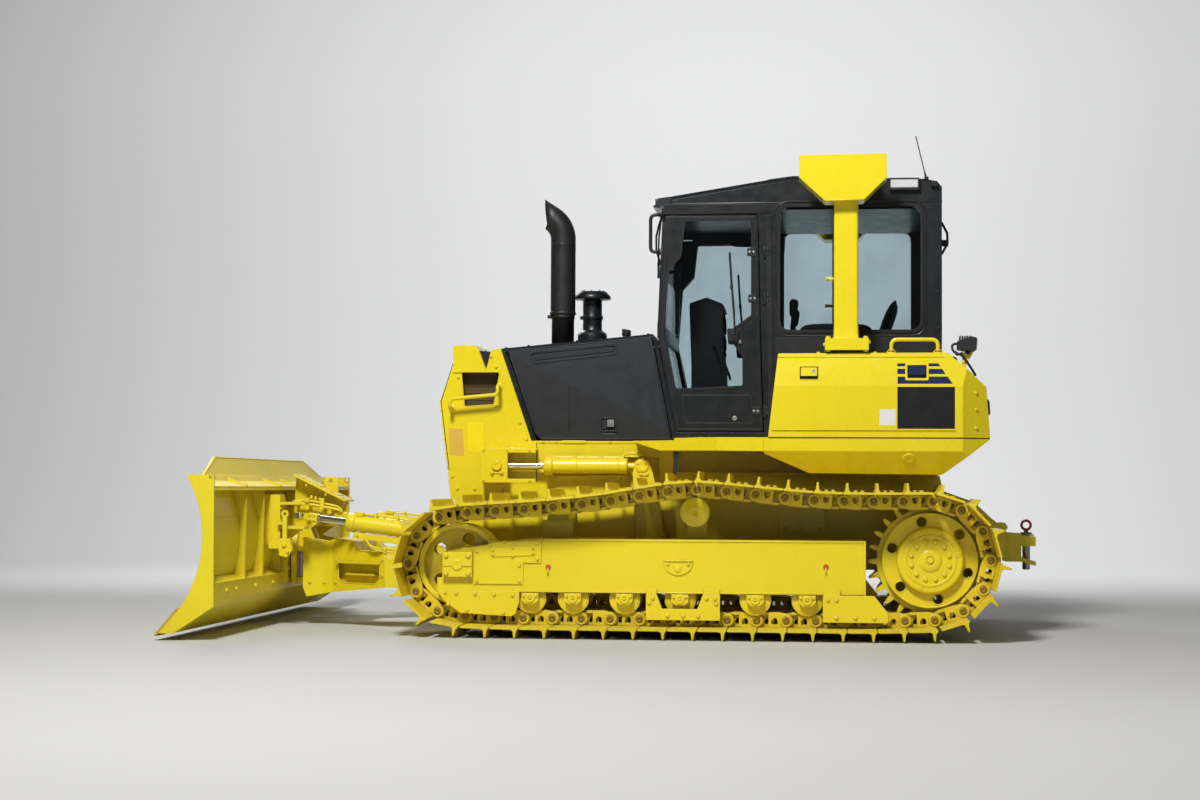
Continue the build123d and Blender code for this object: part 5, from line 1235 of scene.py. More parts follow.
for s, side in SIDES:
    body = side + "_door"
    f, r, m, w = Mesh(), Mesh(), Mesh(), Mesh()
    # rubber seal of the pane, pressed border, lower pressing
    ring(r, DOOR_WIN, s * (CY - 5), s * (CY + 3.4), 12, 3, 16, 5)
    ring(f, inset(DOOR, 6), s * (CY - 1), s * (CY + 2.0), 0, 9, 12, 4)
    f.side(rounded([(1366, 1332), (1338, 1166), (960, 1166), (966, 1332)], 16), s * (CY - 1), s * (CY + 1.6), [rounded([(1356, 1322), (1330, 1176), (970, 1176), (976, 1322)], 10)])
    # handle: recess plate, paddle, lock
    f.side(rounded([(1108, 1702), (1024, 1702), (1018, 1612), (1100, 1612)], 12), s * (CY + 0), s * (CY + 5))
    f.side(rounded([(1086, 1684), (1046, 1684), (1046, 1632), (1086, 1632)], 6), s * (CY + 20), s * (CY + 27))
    m.turned((1036, s * (CY + 4), 1627), (0, s, 0), [(0, 10), (4, 10), (5, 8), (5, 3)], 20)
    m.turned((1063, s * (CY - 0.5), 1200), (0, s, 0), [(0, 14), (3, 14), (4.5, 11), (4.5, 3)], 24)
    # hinge straps on the door
    for z in (1240, 1869, 2129):
        xe = 905 + (z - 1128) * (925 - 905) / 572 if z < 1700 else 925 + (z - 1700) * 15 / 636
        f.side(rounded([(xe + 60, z + 22), (xe + 8, z + 26), (xe + 8, z - 26), (xe + 60, z - 22)], 5), s * (CY - 0.5), s * (CY + 5))
        for dx in (24, 46):
            m.bolt((xe + dx, s * (CY + 5), z), (0, s, 0), 6, 4.5)
    # side wiper: motor, arm, blade
    w.turned((1060, s * (CY + 2), 1650), (0, s, 0), [(0, 24), (10, 24), (14, 20), (14, 12), (26, 11), (27, 5)], 28)
    w.pipe([(1060, s * (CY + 22), 1650), (1062, s * (CY + 26), 1700), (1078, s * (CY + 17), 1930)], 5.5, 30, 10)
    w.pipe([(1066, s * (CY + 9), 1775), (1082, s * (CY + 9), 1960), (1093, s * (CY + 9), 2127)], 6.5, 30, 8)
    w.pipe([(1066, s * (CY + 4), 1772), (1082, s * (CY + 4), 1960), (1093, s * (CY + 4), 2130)], 3.0, 30, 6)
    w.box(1072, 1090, s * (CY + 6), s * (CY + 20), 1922, 1944)
    # inside face: grab handle and liner
    w.pipe([(1140, s * (CY - 34), 1480), (1140, s * (CY - 74), 1490), (1180, s * (CY - 74), 1600), (1184, s * (CY - 34), 1612)], 8, 20, 12)
    f.side(inset(DOOR_WIN, -34), s * (CY - 35.5), s * (CY - 33), [inset(DOOR_WIN, -8)])
    f.make(side + "_door_trim", "trimdark", body, "dark_paint", bevel=1.0, seg=2)
    r.make(side + "_door_seal", "rubber", body, "rubber_pad", bevel=1.2, seg=2)
    m.make(side + "_door_lock", "keygrey", body, "pin_steel", bevel=0.5, seg=1)
    w.make(side + "_door_wiper", "rubber", body, "rubber_pad")

    # fixed side of the cab
    f, r, m = Mesh(), Mesh(), Mesh()
    RW = [(813, 2382), (34, 2382), (34, 1691), (813, 1691)]
    r.side(rounded(inset(RW, -15), 74, 8), s * (CY - 5), s * (CY + 4.5), [rounded(inset(RW, 3), 57, 8)])
    f.tube_raw([Vector((p[0], s * (CY + 0.5), p[1])) for p in rounded(inset(RW, -30), 88, 8)] + [Vector((813 + 30 - 40, s * (CY + 0.5), 2412))], 3.4, 8)
    # middle post cover, hinge knuckles
    f.side(rounded([(892, 2336), (862, 2336), (846, 1120), (876, 1120)], 6), s * (CY - 1), s * (CY + 7))
    for z in (1240, 1869, 2129):
        f.turned((898, s * 652, z - 34), (0, 0, 1), [(0, 5), (0, 8), (68, 8), (68, 5)], 20)
        f.box(868, 896, s * 648, s * 656, z - 26, z + 26)
        for dz in (-14, 14):
            m.bolt((878, s * 656, z + dz), (0, s, 0), 5.5, 4)
    # lower side panel pressing, sill strip and skirt bolts
    f.side(rounded([(836, 1580), (822, 1100), (-50, 1100), (-60, 1640), (400, 1660), (836, 1650)], 20), s * (CY - 1), s * (CY + 2))
    r.pipe([(1388, s * (CY + 1), 1096), (880, s * (CY + 1), 1096)], 4.0)
    r.pipe([(1480, s * (CY + 1), 2348), (880, s * (CY + 1), 2350)], 3.6)
    for x in (930, 1080, 1230, 1350):
        m.bolt((x, s * CY, 1108), (0, s, 0), 5.5, 4)
    for z in (1500, 1700, 1900, 2100, 2300):
        m.bolt((-60, s * CY, z), (0, s, 0), 5.5, 4)
    # gutter under the roof and the front corner cap
    f.pipe([(1484, s * 626, 2404), (900, s * 640, 2406), (-78, s * 640, 2406)], 7, 40, 12)
    f.side(rounded([(1486, 2392), (1500, 2437), (1423, 2447), (1418, 2392)], 6), s * 560, s * 640)
    f.side(rounded([(-60, 2520), (-22, 2520), (-22, 2492), (-60, 2492)], 5), s * 600, s * 646)
    # roof ribs
    f.side([(880, 2536), (740, 2556), (600, 2552), (600, 2557), (742, 2562), (884, 2543)], s * 560, s * 600)
    f.make(side + "_cab_trim", "trimdark", "chassis", "dark_paint", bevel=1.0, seg=2)
    r.make(side + "_cab_seals", "rubber", "chassis", "rubber_pad", bevel=1.0, seg=2)
    m.make(side + "_cab_bolts", "dark", "chassis", "dark_paint")

# front and rear seals, wipers
f, r, w = Mesh(), Mesh(), Mesh()


def incline(p, q, t_sign=1.0):
    """Maps (y, height, t) onto the cab face through p and q."""
    d = Vector((q[0] - p[0], 0, q[1] - p[1])).normalized()
    nn = Vector((d.z, 0, -d.x)) if d.z > 0 else Vector((-d.z, 0, d.x))
    nn = nn * t_sign
    return lambda u, v, t: tuple(Vector((p[0] + (v - p[1]) * (q[0] - p[0]) / (q[1] - p[1]), u, v)) + nn * t)


up, low = incline((1499, 1683), (1473, 2323)), incline((1385, 1087), (1499, 1683))
rear = incline((-82, 1600), (-82, 2400), -1.0)
r.poly(rounded([(-575, 1706), (575, 1706), (575, 2334), (-575, 2334)], 52, 8), [rounded([(-557, 1723), (557, 1723), (557, 2317), (-557, 2317)], 38, 8)], up, -5, 4)
r.poly(rounded([(-575, 1246), (575, 1246), (575, 1654), (-575, 1654)], 52, 8), [rounded([(-557, 1263), (557, 1263), (557, 1637), (-557, 1637)], 38, 8)], low, -5, 4)
r.poly(rounded([(-555, 1626), (555, 1626), (555, 2344), (-555, 2344)], 52, 8), [rounded([(-537, 1643), (537, 1643), (537, 2327), (-537, 2327)], 38, 8)], rear, -5, 4)
for y0, dr in ((300, -1), (-300, 1)):
    w.turned(up(y0, 1705, 0), (1, 0, 0.04), [(-4, 20), (14, 20), (20, 14), (24, 10), (24, 3)], 24)
    w.pipe([up(y0, 1705, 20), up(y0 + dr * 60, 1760, 26), up(y0 + dr * 190, 2020, 16)], 5.5, 30, 10)
    w.pipe([up(y0 + dr * 120, 1770, 8), up(y0 + dr * 190, 2020, 9), up(y0 + dr * 250, 2270, 8)], 6, 30, 8)
w.turned(rear(0, 2330, 0), (-1, 0, 0), [(-4, 20), (14, 20), (20, 14), (20, 3)], 24)
w.pipe([rear(0, 2330, 18), rear(40, 2200, 22), rear(130, 1960, 12)], 5.5, 30, 10)
w.pipe([rear(60, 2240, 7), rear(130, 1960, 8), rear(190, 1720, 7)], 6, 30, 8)
# arms and hoses ahead of the front corner, as black curved lines
w.pipe([(1470, 560, 2372), (1497, 548, 2300), (1513, 540, 2232), (1512, 540, 2150), (1488, 546, 2080)], 6, 30, 10)
w.pipe([(1462, 520, 2380), (1488, 515, 2330), (1500, 512, 2230), (1502, 512, 2100), (1500, 512, 2010), (1508, 512, 2002)], 5, 30, 10)
w.box(1494, 1508, 505, 520, 1998, 2090)
w.turned((1479, 546, 2080), (1, 0, 0), [(0, 16), (10, 16), (13, 12), (13, 4)], 20)
# rear corner knob and lines
w.pipe([(-84, 560, 2300), (-116, 556, 2240), (-118, 556, 2180), (-84, 556, 2120)], 7, 20, 10)
w.box(-122, -84, 544, 568, 2166, 2200)
# visor
f.side([(1486, 2392), (1530, 2398), (1530, 2404), (1486, 2437), (1423, 2447), (1423, 2440), (1480, 2428)], -560, 560)
for y in (-520, -200, 200, 520):
    f.bolt((1500, y, 2420), (0.6, 0, 0.8), 6, 5)
# front post cover between the panes
f.poly([(-575, 1656), (575, 1656), (575, 1704), (-575, 1704)], [], up, -4, 3)
# pressed panels of the roof
f.plan(rrect(120, 860, -430, 430, 40), 2556, 2562, [rrect(160, 820, -390, 390, 30)])
f.poly([(-430, 960), (430, 960), (430, 1380), (-430, 1380)], [[(-400, 990), (400, 990), (400, 1350), (-400, 1350)]],
       lambda u, v, t: (v, u, 2542 - (v - 874) * 89 / 546.0 + t), -2, 4)
# headliner and inner posts
f.box(-38, 1420, -600, 600, 2372, 2396)
f.box(-44, -38, -540, 540, 2340, 2380)
f.make("cab_front_trim", "trimdark", "chassis", "dark_paint", bevel=1.2, seg=2)
r.make("cab_pane_seals", "rubber", "chassis", "rubber_pad", bevel=1.0, seg=2)
w.make("cab_wipers", "rubber", "chassis", "rubber_pad")

# ------------------------------------------------------------ seat and controls
def cushion(name, rows, cols, fn, body="chassis"):
    """Closed, crowned pad: fn(u, v) gives outer and back points for u, v in 0..1."""
    g = Mesh()
    top = [[fn(i / rows, j / cols, True) for j in range(cols + 1)] for i in range(rows + 1)]
    bot = [[fn(i / rows, j / cols, False) for j in range(cols + 1)] for i in range(rows + 1)]
    v, f = [], []
    for grid in (top, bot):
        for row in grid:
            v += row
    m = (rows + 1) * (cols + 1)
    q = lambda a, i, j: a * m + i * (cols + 1) + j
    for i in range(rows):
        for j in range(cols):
            f.append((q(0, i, j), q(0, i, j + 1), q(0, i + 1, j + 1), q(0, i + 1, j)))
            f.append((q(1, i, j), q(1, i + 1, j), q(1, i + 1, j + 1), q(1, i, j + 1)))
    for i in range(rows):
        f.append((q(0, i, 0), q(0, i + 1, 0), q(1, i + 1, 0), q(1, i, 0)))
        f.append((q(0, i, cols), q(1, i, cols), q(1, i + 1, cols), q(0, i + 1, cols)))
    for j in range(cols):
        f.append((q(0, 0, j), q(1, 0, j), q(1, 0, j + 1), q(0, 0, j + 1)))
        f.append((q(0, rows, j), q(0, rows, j + 1), q(1, rows, j + 1), q(1, rows, j)))
    g.add(v, f, True)
    o = g.make(name, "fabric", body, "seat_fabric", replaces=("operator_seat",))
    return o


def crown(u, v):
    """Soft pillow height: full in the middle, rounded off at the edges, with a sewn channel."""
    e = (1 - abs(2 * u - 1) ** 3.2) ** 0.42 * (1 - abs(2 * v - 1) ** 3.2) ** 0.42
    seam = 0.10 * math.exp(-((abs(2 * v - 1) - 0.56) / 0.05) ** 2) + 0.07 * math.exp(-((u - 0.36) / 0.03) ** 2)
    dimple = 0.10 * math.exp(-((u - 0.45) ** 2 + (v - 0.5) ** 2) / 0.05)
    wrinkle = 0.012 * math.sin(19 * u + 3.0 * math.sin(7 * v)) * e + 0.010 * math.sin(23 * v + 2.0 * math.sin(5 * u))
    return max(0.0, e - seam * e - dimple * e + wrinkle)


def seat_pad(u, v, top):
    x, y = 235 + 470 * u, -225 + 450 * v
    k = crown(u, v)
    return (x, y, 1462 + 66 * k) if top else (x, y, 1458 - 20 * (1 - abs(2 * u - 1) ** 6) * (1 - abs(2 * v - 1) ** 6))


def back_pad(u, v, top):
    s0 = u
    bx, bz = 300 - 148 * s0, 1500 + 400 * s0
    wd = 205 - 25 * s0
    y = -wd + 2 * wd * v
    k = crown(1 - u, v)
    return (bx + 34 * k, y, bz + 12 * k) if top else (bx - 34 * (1 - abs(2 * u - 1) ** 6) * (1 - abs(2 * v - 1) ** 6), y, bz - 8)


cushion("seat_cushion", 34, 34, seat_pad)
cushion("seat_backrest", 34, 34, back_pad)
g = Mesh()
# suspension: plates, bellows, frame and adjusters
for i in range(8):
    z = 1150 + 33 * i
    a = 8 if i % 2 else -6
    g.plan(rrect(306 - a, 616 + a, -168 - a, 168 + a, 26), z, z + 33)
g.plan(rrect(296, 624, -178, 178, 20), 1128, 1152)
g.plan(rrect(260, 690, -205, 205, 24), 1414, 1440)
g.side(rounded([(262, 1470), (232, 1466), (176, 1640), (196, 1648)], 8), -150, 150)
for y in (-214, 214):
    g.pipe([(560, y, 1428), (640, y, 1440), (668, y, 1432)], 7, 20, 10)
g.make("seat_base", "plastic", "chassis", "console_plastic", bevel=3.0, seg=2, replaces=("operator_seat",))

g, k, b = Mesh(), Mesh(), Mesh()
# console: pod with hood and gauges, side boxes with arm rests, levers with boots and grips
g.side(rounded([(1142, 1127), (1328, 1127), (1332, 1520), (1345, 1872), (1244, 1913), (1152, 1858), (1146, 1500)], 12), -196, 196)
g.side(rounded([(1142, 1127), (1326, 1127), (1326, 1516), (1142, 1516)], 14), -298, 298)
g.side(rounded([(1140, 1836), (1150, 1878), (1244, 1915), (1340, 1882), (1344, 1868), (1244, 1900), (1160, 1862)], 5), -204, 204)
gp = incline((1146, 1560), (1150, 1840), -1.0)
for y, z, rr in ((-110, 1770, 42), (0, 1780, 52), (110, 1770, 42), (-110, 1660, 30), (0, 1655, 34), (110, 1660, 30)):
    k.turned(gp(y, z, 0), (-1, 0, 0.02), [(-3, rr + 6), (4, rr + 6), (6, rr + 2), (3, rr), (3, 4)], 32)
for i in range(8):
    k.poly(rrect(-140 + 38 * i - 13, -140 + 38 * i + 13, 1590, 1612, 3), [], gp, -1, 4)
for s in (1, -1):
    g.side(rounded([(820, 1128), (330, 1128), (330, 1600), (370, 1640), (770, 1640), (820, 1560)], 22), s * 302, s * 438)
    g.plan(rrect(420, 480, s * 370 - 30, s * 370 + 30, 10), 1630, 1706)
    g.plan(rrect(302, 698, s * 370 - 39, s * 370 + 39, 20), 1702, 1716)
    k.turned((757, s * 370, 1636), (0, 0, 1), [(0, 44), (6, 44), (14, 36), (18, 38), (28, 28), (32, 30), (42, 18), (48, 12)], 28)
    k.cyl((757, s * 370, 1640), (741, s * 370, 1812), 10, 14)
    k.turned((743, s * 370, 1790), (-0.07, 0, 1), [(0, 12), (6, 20), (40, 24), (70, 26), (88, 24), (98, 14), (99, 4)], 28)
    k.poly(rrect(560, 700, s * 370 - 34, s * 370 + 34, 8), [], lambda u, v, t: (u, v, 1640 + t), -1, 3)
# pedals and mat
for y in (-150, -40, 110):
    k.poly(rrect(y - 40, y + 40, 1170, 1250, 10), [], lambda u, v, t: (1085 - (v - 1170) * 0.3 - t, u, v), 0, 10)
    k.cyl((1080, y, 1180), (1145, y, 1150), 8, 12)
k.plan(rrect(330, 1120, -290, 290, 20), 1127.5, 1133)
for i in range(14):
    k.box(360 + 54 * i, 366 + 54 * i, -270, 270, 1132, 1136)
g.make("console_body", "plastic", "chassis", "console_plastic", bevel=3.0, seg=2, replaces=("control_console",))
k.make("console_controls", "rubber", "chassis", "console_plastic", bevel=1.0, seg=1, replaces=("control_console",))
for s, side in SIDES:
    rows, cols = 16, 12
    gm = Mesh()
    def ap(u, v, top):
        x, yy = 300 + 400 * u, s * 370 - 40 + 80 * v
        k0 = crown(u, v)
        return (x, yy, 1720 + 29 * k0) if top else (x, yy, 1716)
    m0 = [[ap(i / rows, j / cols, True) for j in range(cols + 1)] for i in range(rows + 1)]
    m1 = [[ap(i / rows, j / cols, False) for j in range(cols + 1)] for i in range(rows + 1)]
    v = [p for grid in (m0, m1) for row in grid for p in row]
    mm = (rows + 1) * (cols + 1)
    q = lambda a, i, j: a * mm + i * (cols + 1) + j
    f = []
    for i in range(rows):
        for j in range(cols):
            f.append((q(0, i, j), q(0, i, j + 1), q(0, i + 1, j + 1), q(0, i + 1, j)))
            f.append((q(1, i, j), q(1, i + 1, j), q(1, i + 1, j + 1), q(1, i, j + 1)))
        f.append((q(0, i, 0), q(0, i + 1, 0), q(1, i + 1, 0), q(1, i, 0)))
        f.append((q(0, i, cols), q(1, i, cols), q(1, i + 1, cols), q(0, i + 1, cols)))
    for j in range(cols):
        f.append((q(0, 0, j), q(1, 0, j), q(1, 0, j + 1), q(0, 0, j + 1)))
        f.append((q(0, rows, j), q(0, rows, j + 1), q(1, rows, j + 1), q(1, rows, j)))
    gm.add(v, f, True)
    o = gm.make(side + "_arm_rest", "fabric", "chassis", "seat_fabric", replaces=("control_console",))

# grab bar seen through the far window
g = Mesh()
g.pipe([(1169, -604, 2345), (1150, -566, 2318), (1110, -560, 2300), (1000, -560, 2296), (960, -604, 2300)], 9, 24, 12)
g.make("inner_grab_bar", "plastic", "chassis", "console_plastic")

# ------------------------------------------------------------- lamps and antenna
bk, ln, br, rf, sl = Mesh(), Mesh(), Mesh(), Mesh(), Mesh()
for s, side in SIDES:
    # rear work lamp: housing, lens to the rear, stirrup, bracket, cable
    hs = [(-150, 1612), (-222, 1636), (-252, 1628), (-246, 1557), (-196, 1557), (-150, 1566)]
    bk.side(rounded(hs, 8), s * 842, s * 958)
    for i in range(5):
        x = -162 - 13 * i
        bk.side([(x, 1640), (x - 4, 1640), (x - 4, 1600), (x, 1600)], s * 850, s * 950)
    ln.poly(rrect(s * 900 - 50, s * 900 + 50, 1563, 1622, 8), [], lambda u, v, t: (-249 - (v - 1557) * 6 / 71.0 - t, u, v), -3, 3)
    bk.side([(-238, 1557), (-226, 1557), (-192, 1545), (-192, 1556)], s * 878, s * 922)
    br.side([(-192, 1466), (-176, 1478), (-176, 1549), (-222, 1557), (-234, 1557), (-230, 1540), (-205, 1500)], s * 882, s * 918)
    br.bolt((-184, s * 918, 1500), (0, s, 0), 7, 5)
    bk.bolt((-208, s * 922, 1548), (0, s, 0), 8, 6)
    bk.tube([(-150, s * 900, 1600), (-124, s * 905, 1590), (-130, s * 915, 1556), (-176, s * 925, 1530), (-214, s * 925, 1478), (-248, s * 905, 1426)], 7, 10)
    bk.tube([(-140, s * 880, 1560), (-150, s * 890, 1540), (-180, s * 900, 1550)], 6, 10)
    # roof side lamp
    bk.side(rrect(41, 209, 2472, 2540, 6), s * 622, s * 648, [rrect(50, 200, 2486, 2532, 4)])
    bk.side(rrect(46, 204, 2482, 2536, 4), s * 622, s * 636)
    sl.side(rrect(50, 200, 2487, 2532, 4), s * 634, s * 646)
    # front roof lamps
    bk.front(rrect(s * 380 - 50, s * 380 + 50, 2406, 2462, 10), 1492, 1528, [])
    ln.front(rrect(s * 380 - 43, s * 380 + 43, 2412, 2456, 8), 1526, 1534)
    bk.box(1480, 1500, s * 380 - 8, s * 380 + 8, 2398, 2410)
bk.make("lamp_housings", "black", "chassis", "black_paint", bevel=2.0, seg=2, replaces=("work_lamps",))
ln.make("lamp_lenses", "lens", "chassis", "lamp_lens", bevel=1.5, seg=2, replaces=("work_lamps",))
sl.make("roof_side_lenses", "lens", "chassis", "lamp_lens", bevel=2.0, seg=2, replaces=("work_lamps",))
br.make("lamp_brackets", "body", "chassis", "body_paint", bevel=1.0, seg=1, replaces=("work_lamps",))
g = Mesh()
g.turned((-5, 500, 2538), (0.2, 0, 0.98), [(0, 16), (8, 16), (12, 10), (26, 8), (30, 5), (44, 4), (46, 2)], 20)
for i in range(6):
    g.turned((-3 + 1.5 * i, 500, 2556 + 6 * i), (0.24, 0, 0.97), [(0, 5.0), (2, 6.0), (4, 5.0)], 12)
g.make("antenna_base", "rubber", "chassis", "rubber_pad")
# ------------------------------------------------- blade, push frame, cylinders
HORN, LIFT_F, LIFT_Y = (1590.0, 933.0), (2417.0, 933.0), 488.0
ANG_R, ANG_E, YAW_X = (2830.0, 482.0, 548.0), (3600.0, 395.0, 640.0), 3560.0
TILT_B, TILT_E = (3610.0, -110.0, 768.0), (3610.0, -500.0, 768.0)
BCX, BCZ, BCR = 4451.8, 540.9, 650.1


def face_x(z):
    return BCX - math.sqrt(BCR ** 2 - (z - BCZ) ** 2)


def weld(g, pts, r=3.2):
    g.tube_raw([Vector(p) for p in pts], r, 8)


for s, side in SIDES:
    # ---- lift cylinder barrel
    g, h, b = Mesh(), Mesh(), Mesh()
    c = lambda x: (x, s * LIFT_Y, 933)
    g.turned(c(1676), (1, 0, 0), [(-2, 30), (-2, 40), (4, 45.5), (10, 45.5), (14, 43.2)], 40)
    g.turned(c(2098), (1, 0, 0), [(0, 43), (2, 47), (6, 50.6), (14, 52), (40, 52), (45, 50), (50, 46), (50, 30), (53, 28), (53, 21.5)], 40)
    for i in range(8):
        a = math.radians(22 + 45 * i)
        b.bolt((2146, s * LIFT_Y + 38 * math.sin(a), 933 + 38 * math.cos(a)), (1, 0, 0), 5.5, 5)
    g.turned(c(1720), (1, 0, 0), [(0, 43), (0, 46), (10, 46), (10, 43)], 40)
    g.turned(c(1960), (1, 0, 0), [(0, 43), (0, 45), (14, 45), (14, 43)], 40)
    # steel pipe on the barrel with its clamps and unions
    for x in (1820, 1966):
        g.box(x, x + 18, s * (LIFT_Y - 15), s * (LIFT_Y + 15), 968, 990)
        b.bolt((x + 9, s * LIFT_Y, 990), (0, 0, 1), 5, 5)
    g.turned((2070, s * LIFT_Y, 980), (1, 0, 0), [(0, 9), (0, 13), (16, 13), (16, 9)], 6)
    g.turned((1722, s * LIFT_Y, 980), (1, 0, 0), [(0, 9), (0, 13), (14, 13), (14, 9)], 6)
    for dy in (-1, 1):
        g.tube([(1704, s * (LIFT_Y + 5 * dy), 984), (1684, s * (LIFT_Y + 8 * dy), 1000), (1650, s * (LIFT_Y + 14 * dy), 1006), (1612, s * (LIFT_Y + 15 * dy), 1000), (1590, s * (LIFT_Y + 15 * dy), 990)], 6.5, 12)
        g.turned((1612, s * (LIFT_Y + 15 * dy), 1000), (-1, 0, -0.35), [(0, 7), (0, 10), (18, 10), (18, 7)], 6)
    g.make(side + "_lift_barrel_trim", "frame", side + "_lift_barrel", "linkage_paint", bevel=0.8, seg=1)
    b.make(side + "_lift_barrel_bolts", "frame", side + "_lift_barrel", "linkage_paint")
    # rod eye weld and wiper mark
    g = Mesh()
    g.turned((2356, s * LIFT_Y, 933), (1, 0, 0), [(0, 20.2), (2, 24), (10, 27), (16, 27)], 28)
    g.turned((2417, s * (LIFT_Y + 20), 933), (0, s, 0), [(-2, 56), (2, 56), (3.5, 53), (3.5, 45), (-2, 44)], 36)
    g.make(side + "_lift_rod_trim", "frame", side + "_lift_rod", "linkage_paint")

    # ---- angle cylinder
    A, B = Vector((ANG_R[0], s * ANG_R[1], ANG_R[2])), Vector((ANG_E[0], s * ANG_E[1], ANG_E[2]))
    d = (B - A).normalized()
    L = (B - A).length
    lat = Vector((0, 0, 1)).cross(d).normalized()
    upv = d.cross(lat)
    at = lambda q, u=0.0, v=0.0: A + d * q + lat * u + upv * v

    def bar(m, q0, q1, u0, u1, v0, v1):
        v = [tuple(at(q, u, w)) for q in (q0, q1) for u in (u0, u1) for w in (v0, v1)]
        m.add(v, [(0, 1, 3, 2), (4, 6, 7, 5), (0, 4, 5, 1), (2, 3, 7, 6), (0, 2, 6, 4), (1, 5, 7, 3)])

    g, h, b = Mesh(), Mesh(), Mesh()
    g.turned(at(46), d, [(5, 46), (10, 48.5), (18, 48.5), (22, 46), (22, 44), (5, 44)], 40)
    g.turned(at(421), d, [(0, 46), (3, 51), (8, 54), (14, 55), (42, 55), (47, 53), (49, 48), (49, 26), (0, 26)], 40)
    g.turned(at(200), d, [(0, 46), (0, 48), (16, 48), (16, 46), (16, 45), (0, 45)], 40)
    bar(g, 380, 430, -22, 22, 44, 66)
    bar(g, 70, 108, -20, 20, 42, 62)
    g.pipe([tuple(at(104, 0, 54)), tuple(at(140, 0, 60)), tuple(at(350, 0, 60)), tuple(at(384, 0, 56))], 7, 20, 12)
    for q in (170, 300):
        bar(g, q, q + 16, -14, 14, 42, 70)
        b.bolt(tuple(at(q + 8, 0, 70)), upv, 5, 4)
    # pipe guard under the barrel
    bar(g, 118, 424, -24, 24, -86, -50)
    bar(g, 150, 170, -18, 18, -52, -40)
    bar(g, 370, 390, -18, 18, -52, -40)
    for q in (140, 400):
        b.bolt(tuple(at(q, s * 24, -68)), lat * s, 7, 5)
    for i in range(8):
        a = math.radians(22 + 45 * i)
        b.bolt(tuple(at(470, 40 * math.cos(a), 40 * math.sin(a))), d, 5.5, 3)
    g.make(side + "_angle_barrel_trim", "frame", side + "_angle_barrel", "linkage_paint", bevel=1.2, seg=2)
    b.make(side + "_angle_barrel_bolts", "frame", side + "_angle_barrel", "linkage_paint")
    # rod head: squared clevis with its clamp bolts
    g, b = Mesh(), Mesh()
    rings = []
    for q, k in ((652, 22), (655, 25), (660, 26.5), (704, 26), (722, 20), (738, 17)):
        rings.append([tuple(at(q, u, v)) for u, v in rrect(-k, k, -k, k, min(9, k * 0.4), 4)])
    g.loops(rings, smooth=False)
    for q in (672, 696):
        for v in (-14, 14):
            b.bolt(tuple(at(q, s * 26.5, v)), lat * s, 6, 5)
    g.turned((B.x, B.y, B.z + 17), (0, 0, 1), [(-1, 31), (2, 31), (3, 28), (3, 20), (-1, 19)], 32)
    g.make(side + "_angle_rod_head", "frame", side + "_angle_rod", "linkage_paint", bevel=1.5, seg=2)
    b.make(side + "_angle_rod_bolts", "frame", side + "_angle_rod", "linkage_paint")

    # ---- push frame
    g, h, b = Mesh(), Mesh(), Mesh()
    Y0 = 530.0
    g.turned((HORN[0], s * Y0, HORN[1]), (0, s, 0), [(-1, 38), (5, 38), (7, 35), (7, 12), (5, 10)], 32)
    for t in (30, 150, 270):
        a = math.radians(t)
        b.bolt((HORN[0] + 27 * math.cos(a), s * (Y0 + 6), HORN[1] + 27 * math.sin(a)), (0, s, 0), 5, 4)
    g.side(rounded([(1604, 878), (1604, 894), (1552, 894), (1552, 878)], 4), s * (Y0 - 1), s * (Y0 + 6))
    for x in (1560, 1596):
        b.bolt((x, s * (Y0 + 6), 886), (0, s, 0), 6, 4)
    g.turned((1480, s * Y0, 400), (0, s, 0), [(-1, 80), (3, 80), (5, 77), (5, 48), (3, 46), (-1, 46)], 48)
    for i in range(6):
        a = math.radians(30 + 60 * i)
        b.bolt((1480 + 63 * math.cos(a), s * (Y0 + 5), 400 + 63 * math.sin(a)), (0, s, 0), 7, 4)
    weld(g, [(1450, s * (Y0 + 0.5), 445), (1500, s * (Y0 + 0.5), 760), (1532, s * (Y0 + 0.5), 898)], 2.5)
    weld(g, [(1618, s * (Y0 + 0.5), 440), (1634, s * (Y0 + 0.5), 760), (1640, s * (Y0 + 0.5), 898)], 2.5)
    weld(g, [(1500, s * (Y0 + 0.5), 760), (1634, s * (Y0 + 0.5), 760)], 3)
    weld(g, [(2872, s * (Y0 + 0.5), 240), (2872, s * (Y0 + 0.5), 428)], 3.4)
    weld(g, [(2776, s * (Y0 - 1), 432), (2868, s * (Y0 - 1), 432)], 4)
    # rear pin of the angle cylinder: cap and lock
    g.turned((ANG_R[0], s * ANG_R[1], 578), (0, 0, 1), [(-2, 26), (6, 26), (8, 23), (8, 9), (5, 8)], 28)
    b.bolt((ANG_R[0], s * ANG_R[1], 584), (0, 0, 1), 8, 6)
    g.turned((ANG_R[0], s * ANG_R[1], 514), (0, 0, 1), [(-3, 38), (1, 38), (3, 36), (3, 30)], 32)
    # seams of the converging box and its lower doubler
    def cheek(x):
        return 530 - (x - 3060) * 268 / 360.0
    weld(g, [(3062, s * (Y0 - 1), 430), (3062, s * (Y0 - 1), 236)], 3.5)
    weld(g, [(3070, s * cheek(3070), 432), (3236, s * cheek(3236), 441)], 4)
    weld(g, [(3240, s * cheek(3240), 442), (3276, s * cheek(3276), 493), (3398, s * cheek(3398), 505)], 4)
    for x, z in ((3076, 300), (3076, 390), (3396, 380), (3396, 250)):
        b.bolt((x, s * (cheek(x) + 0.5), z), (0.597, s * 0.802, 0), 8, 6)
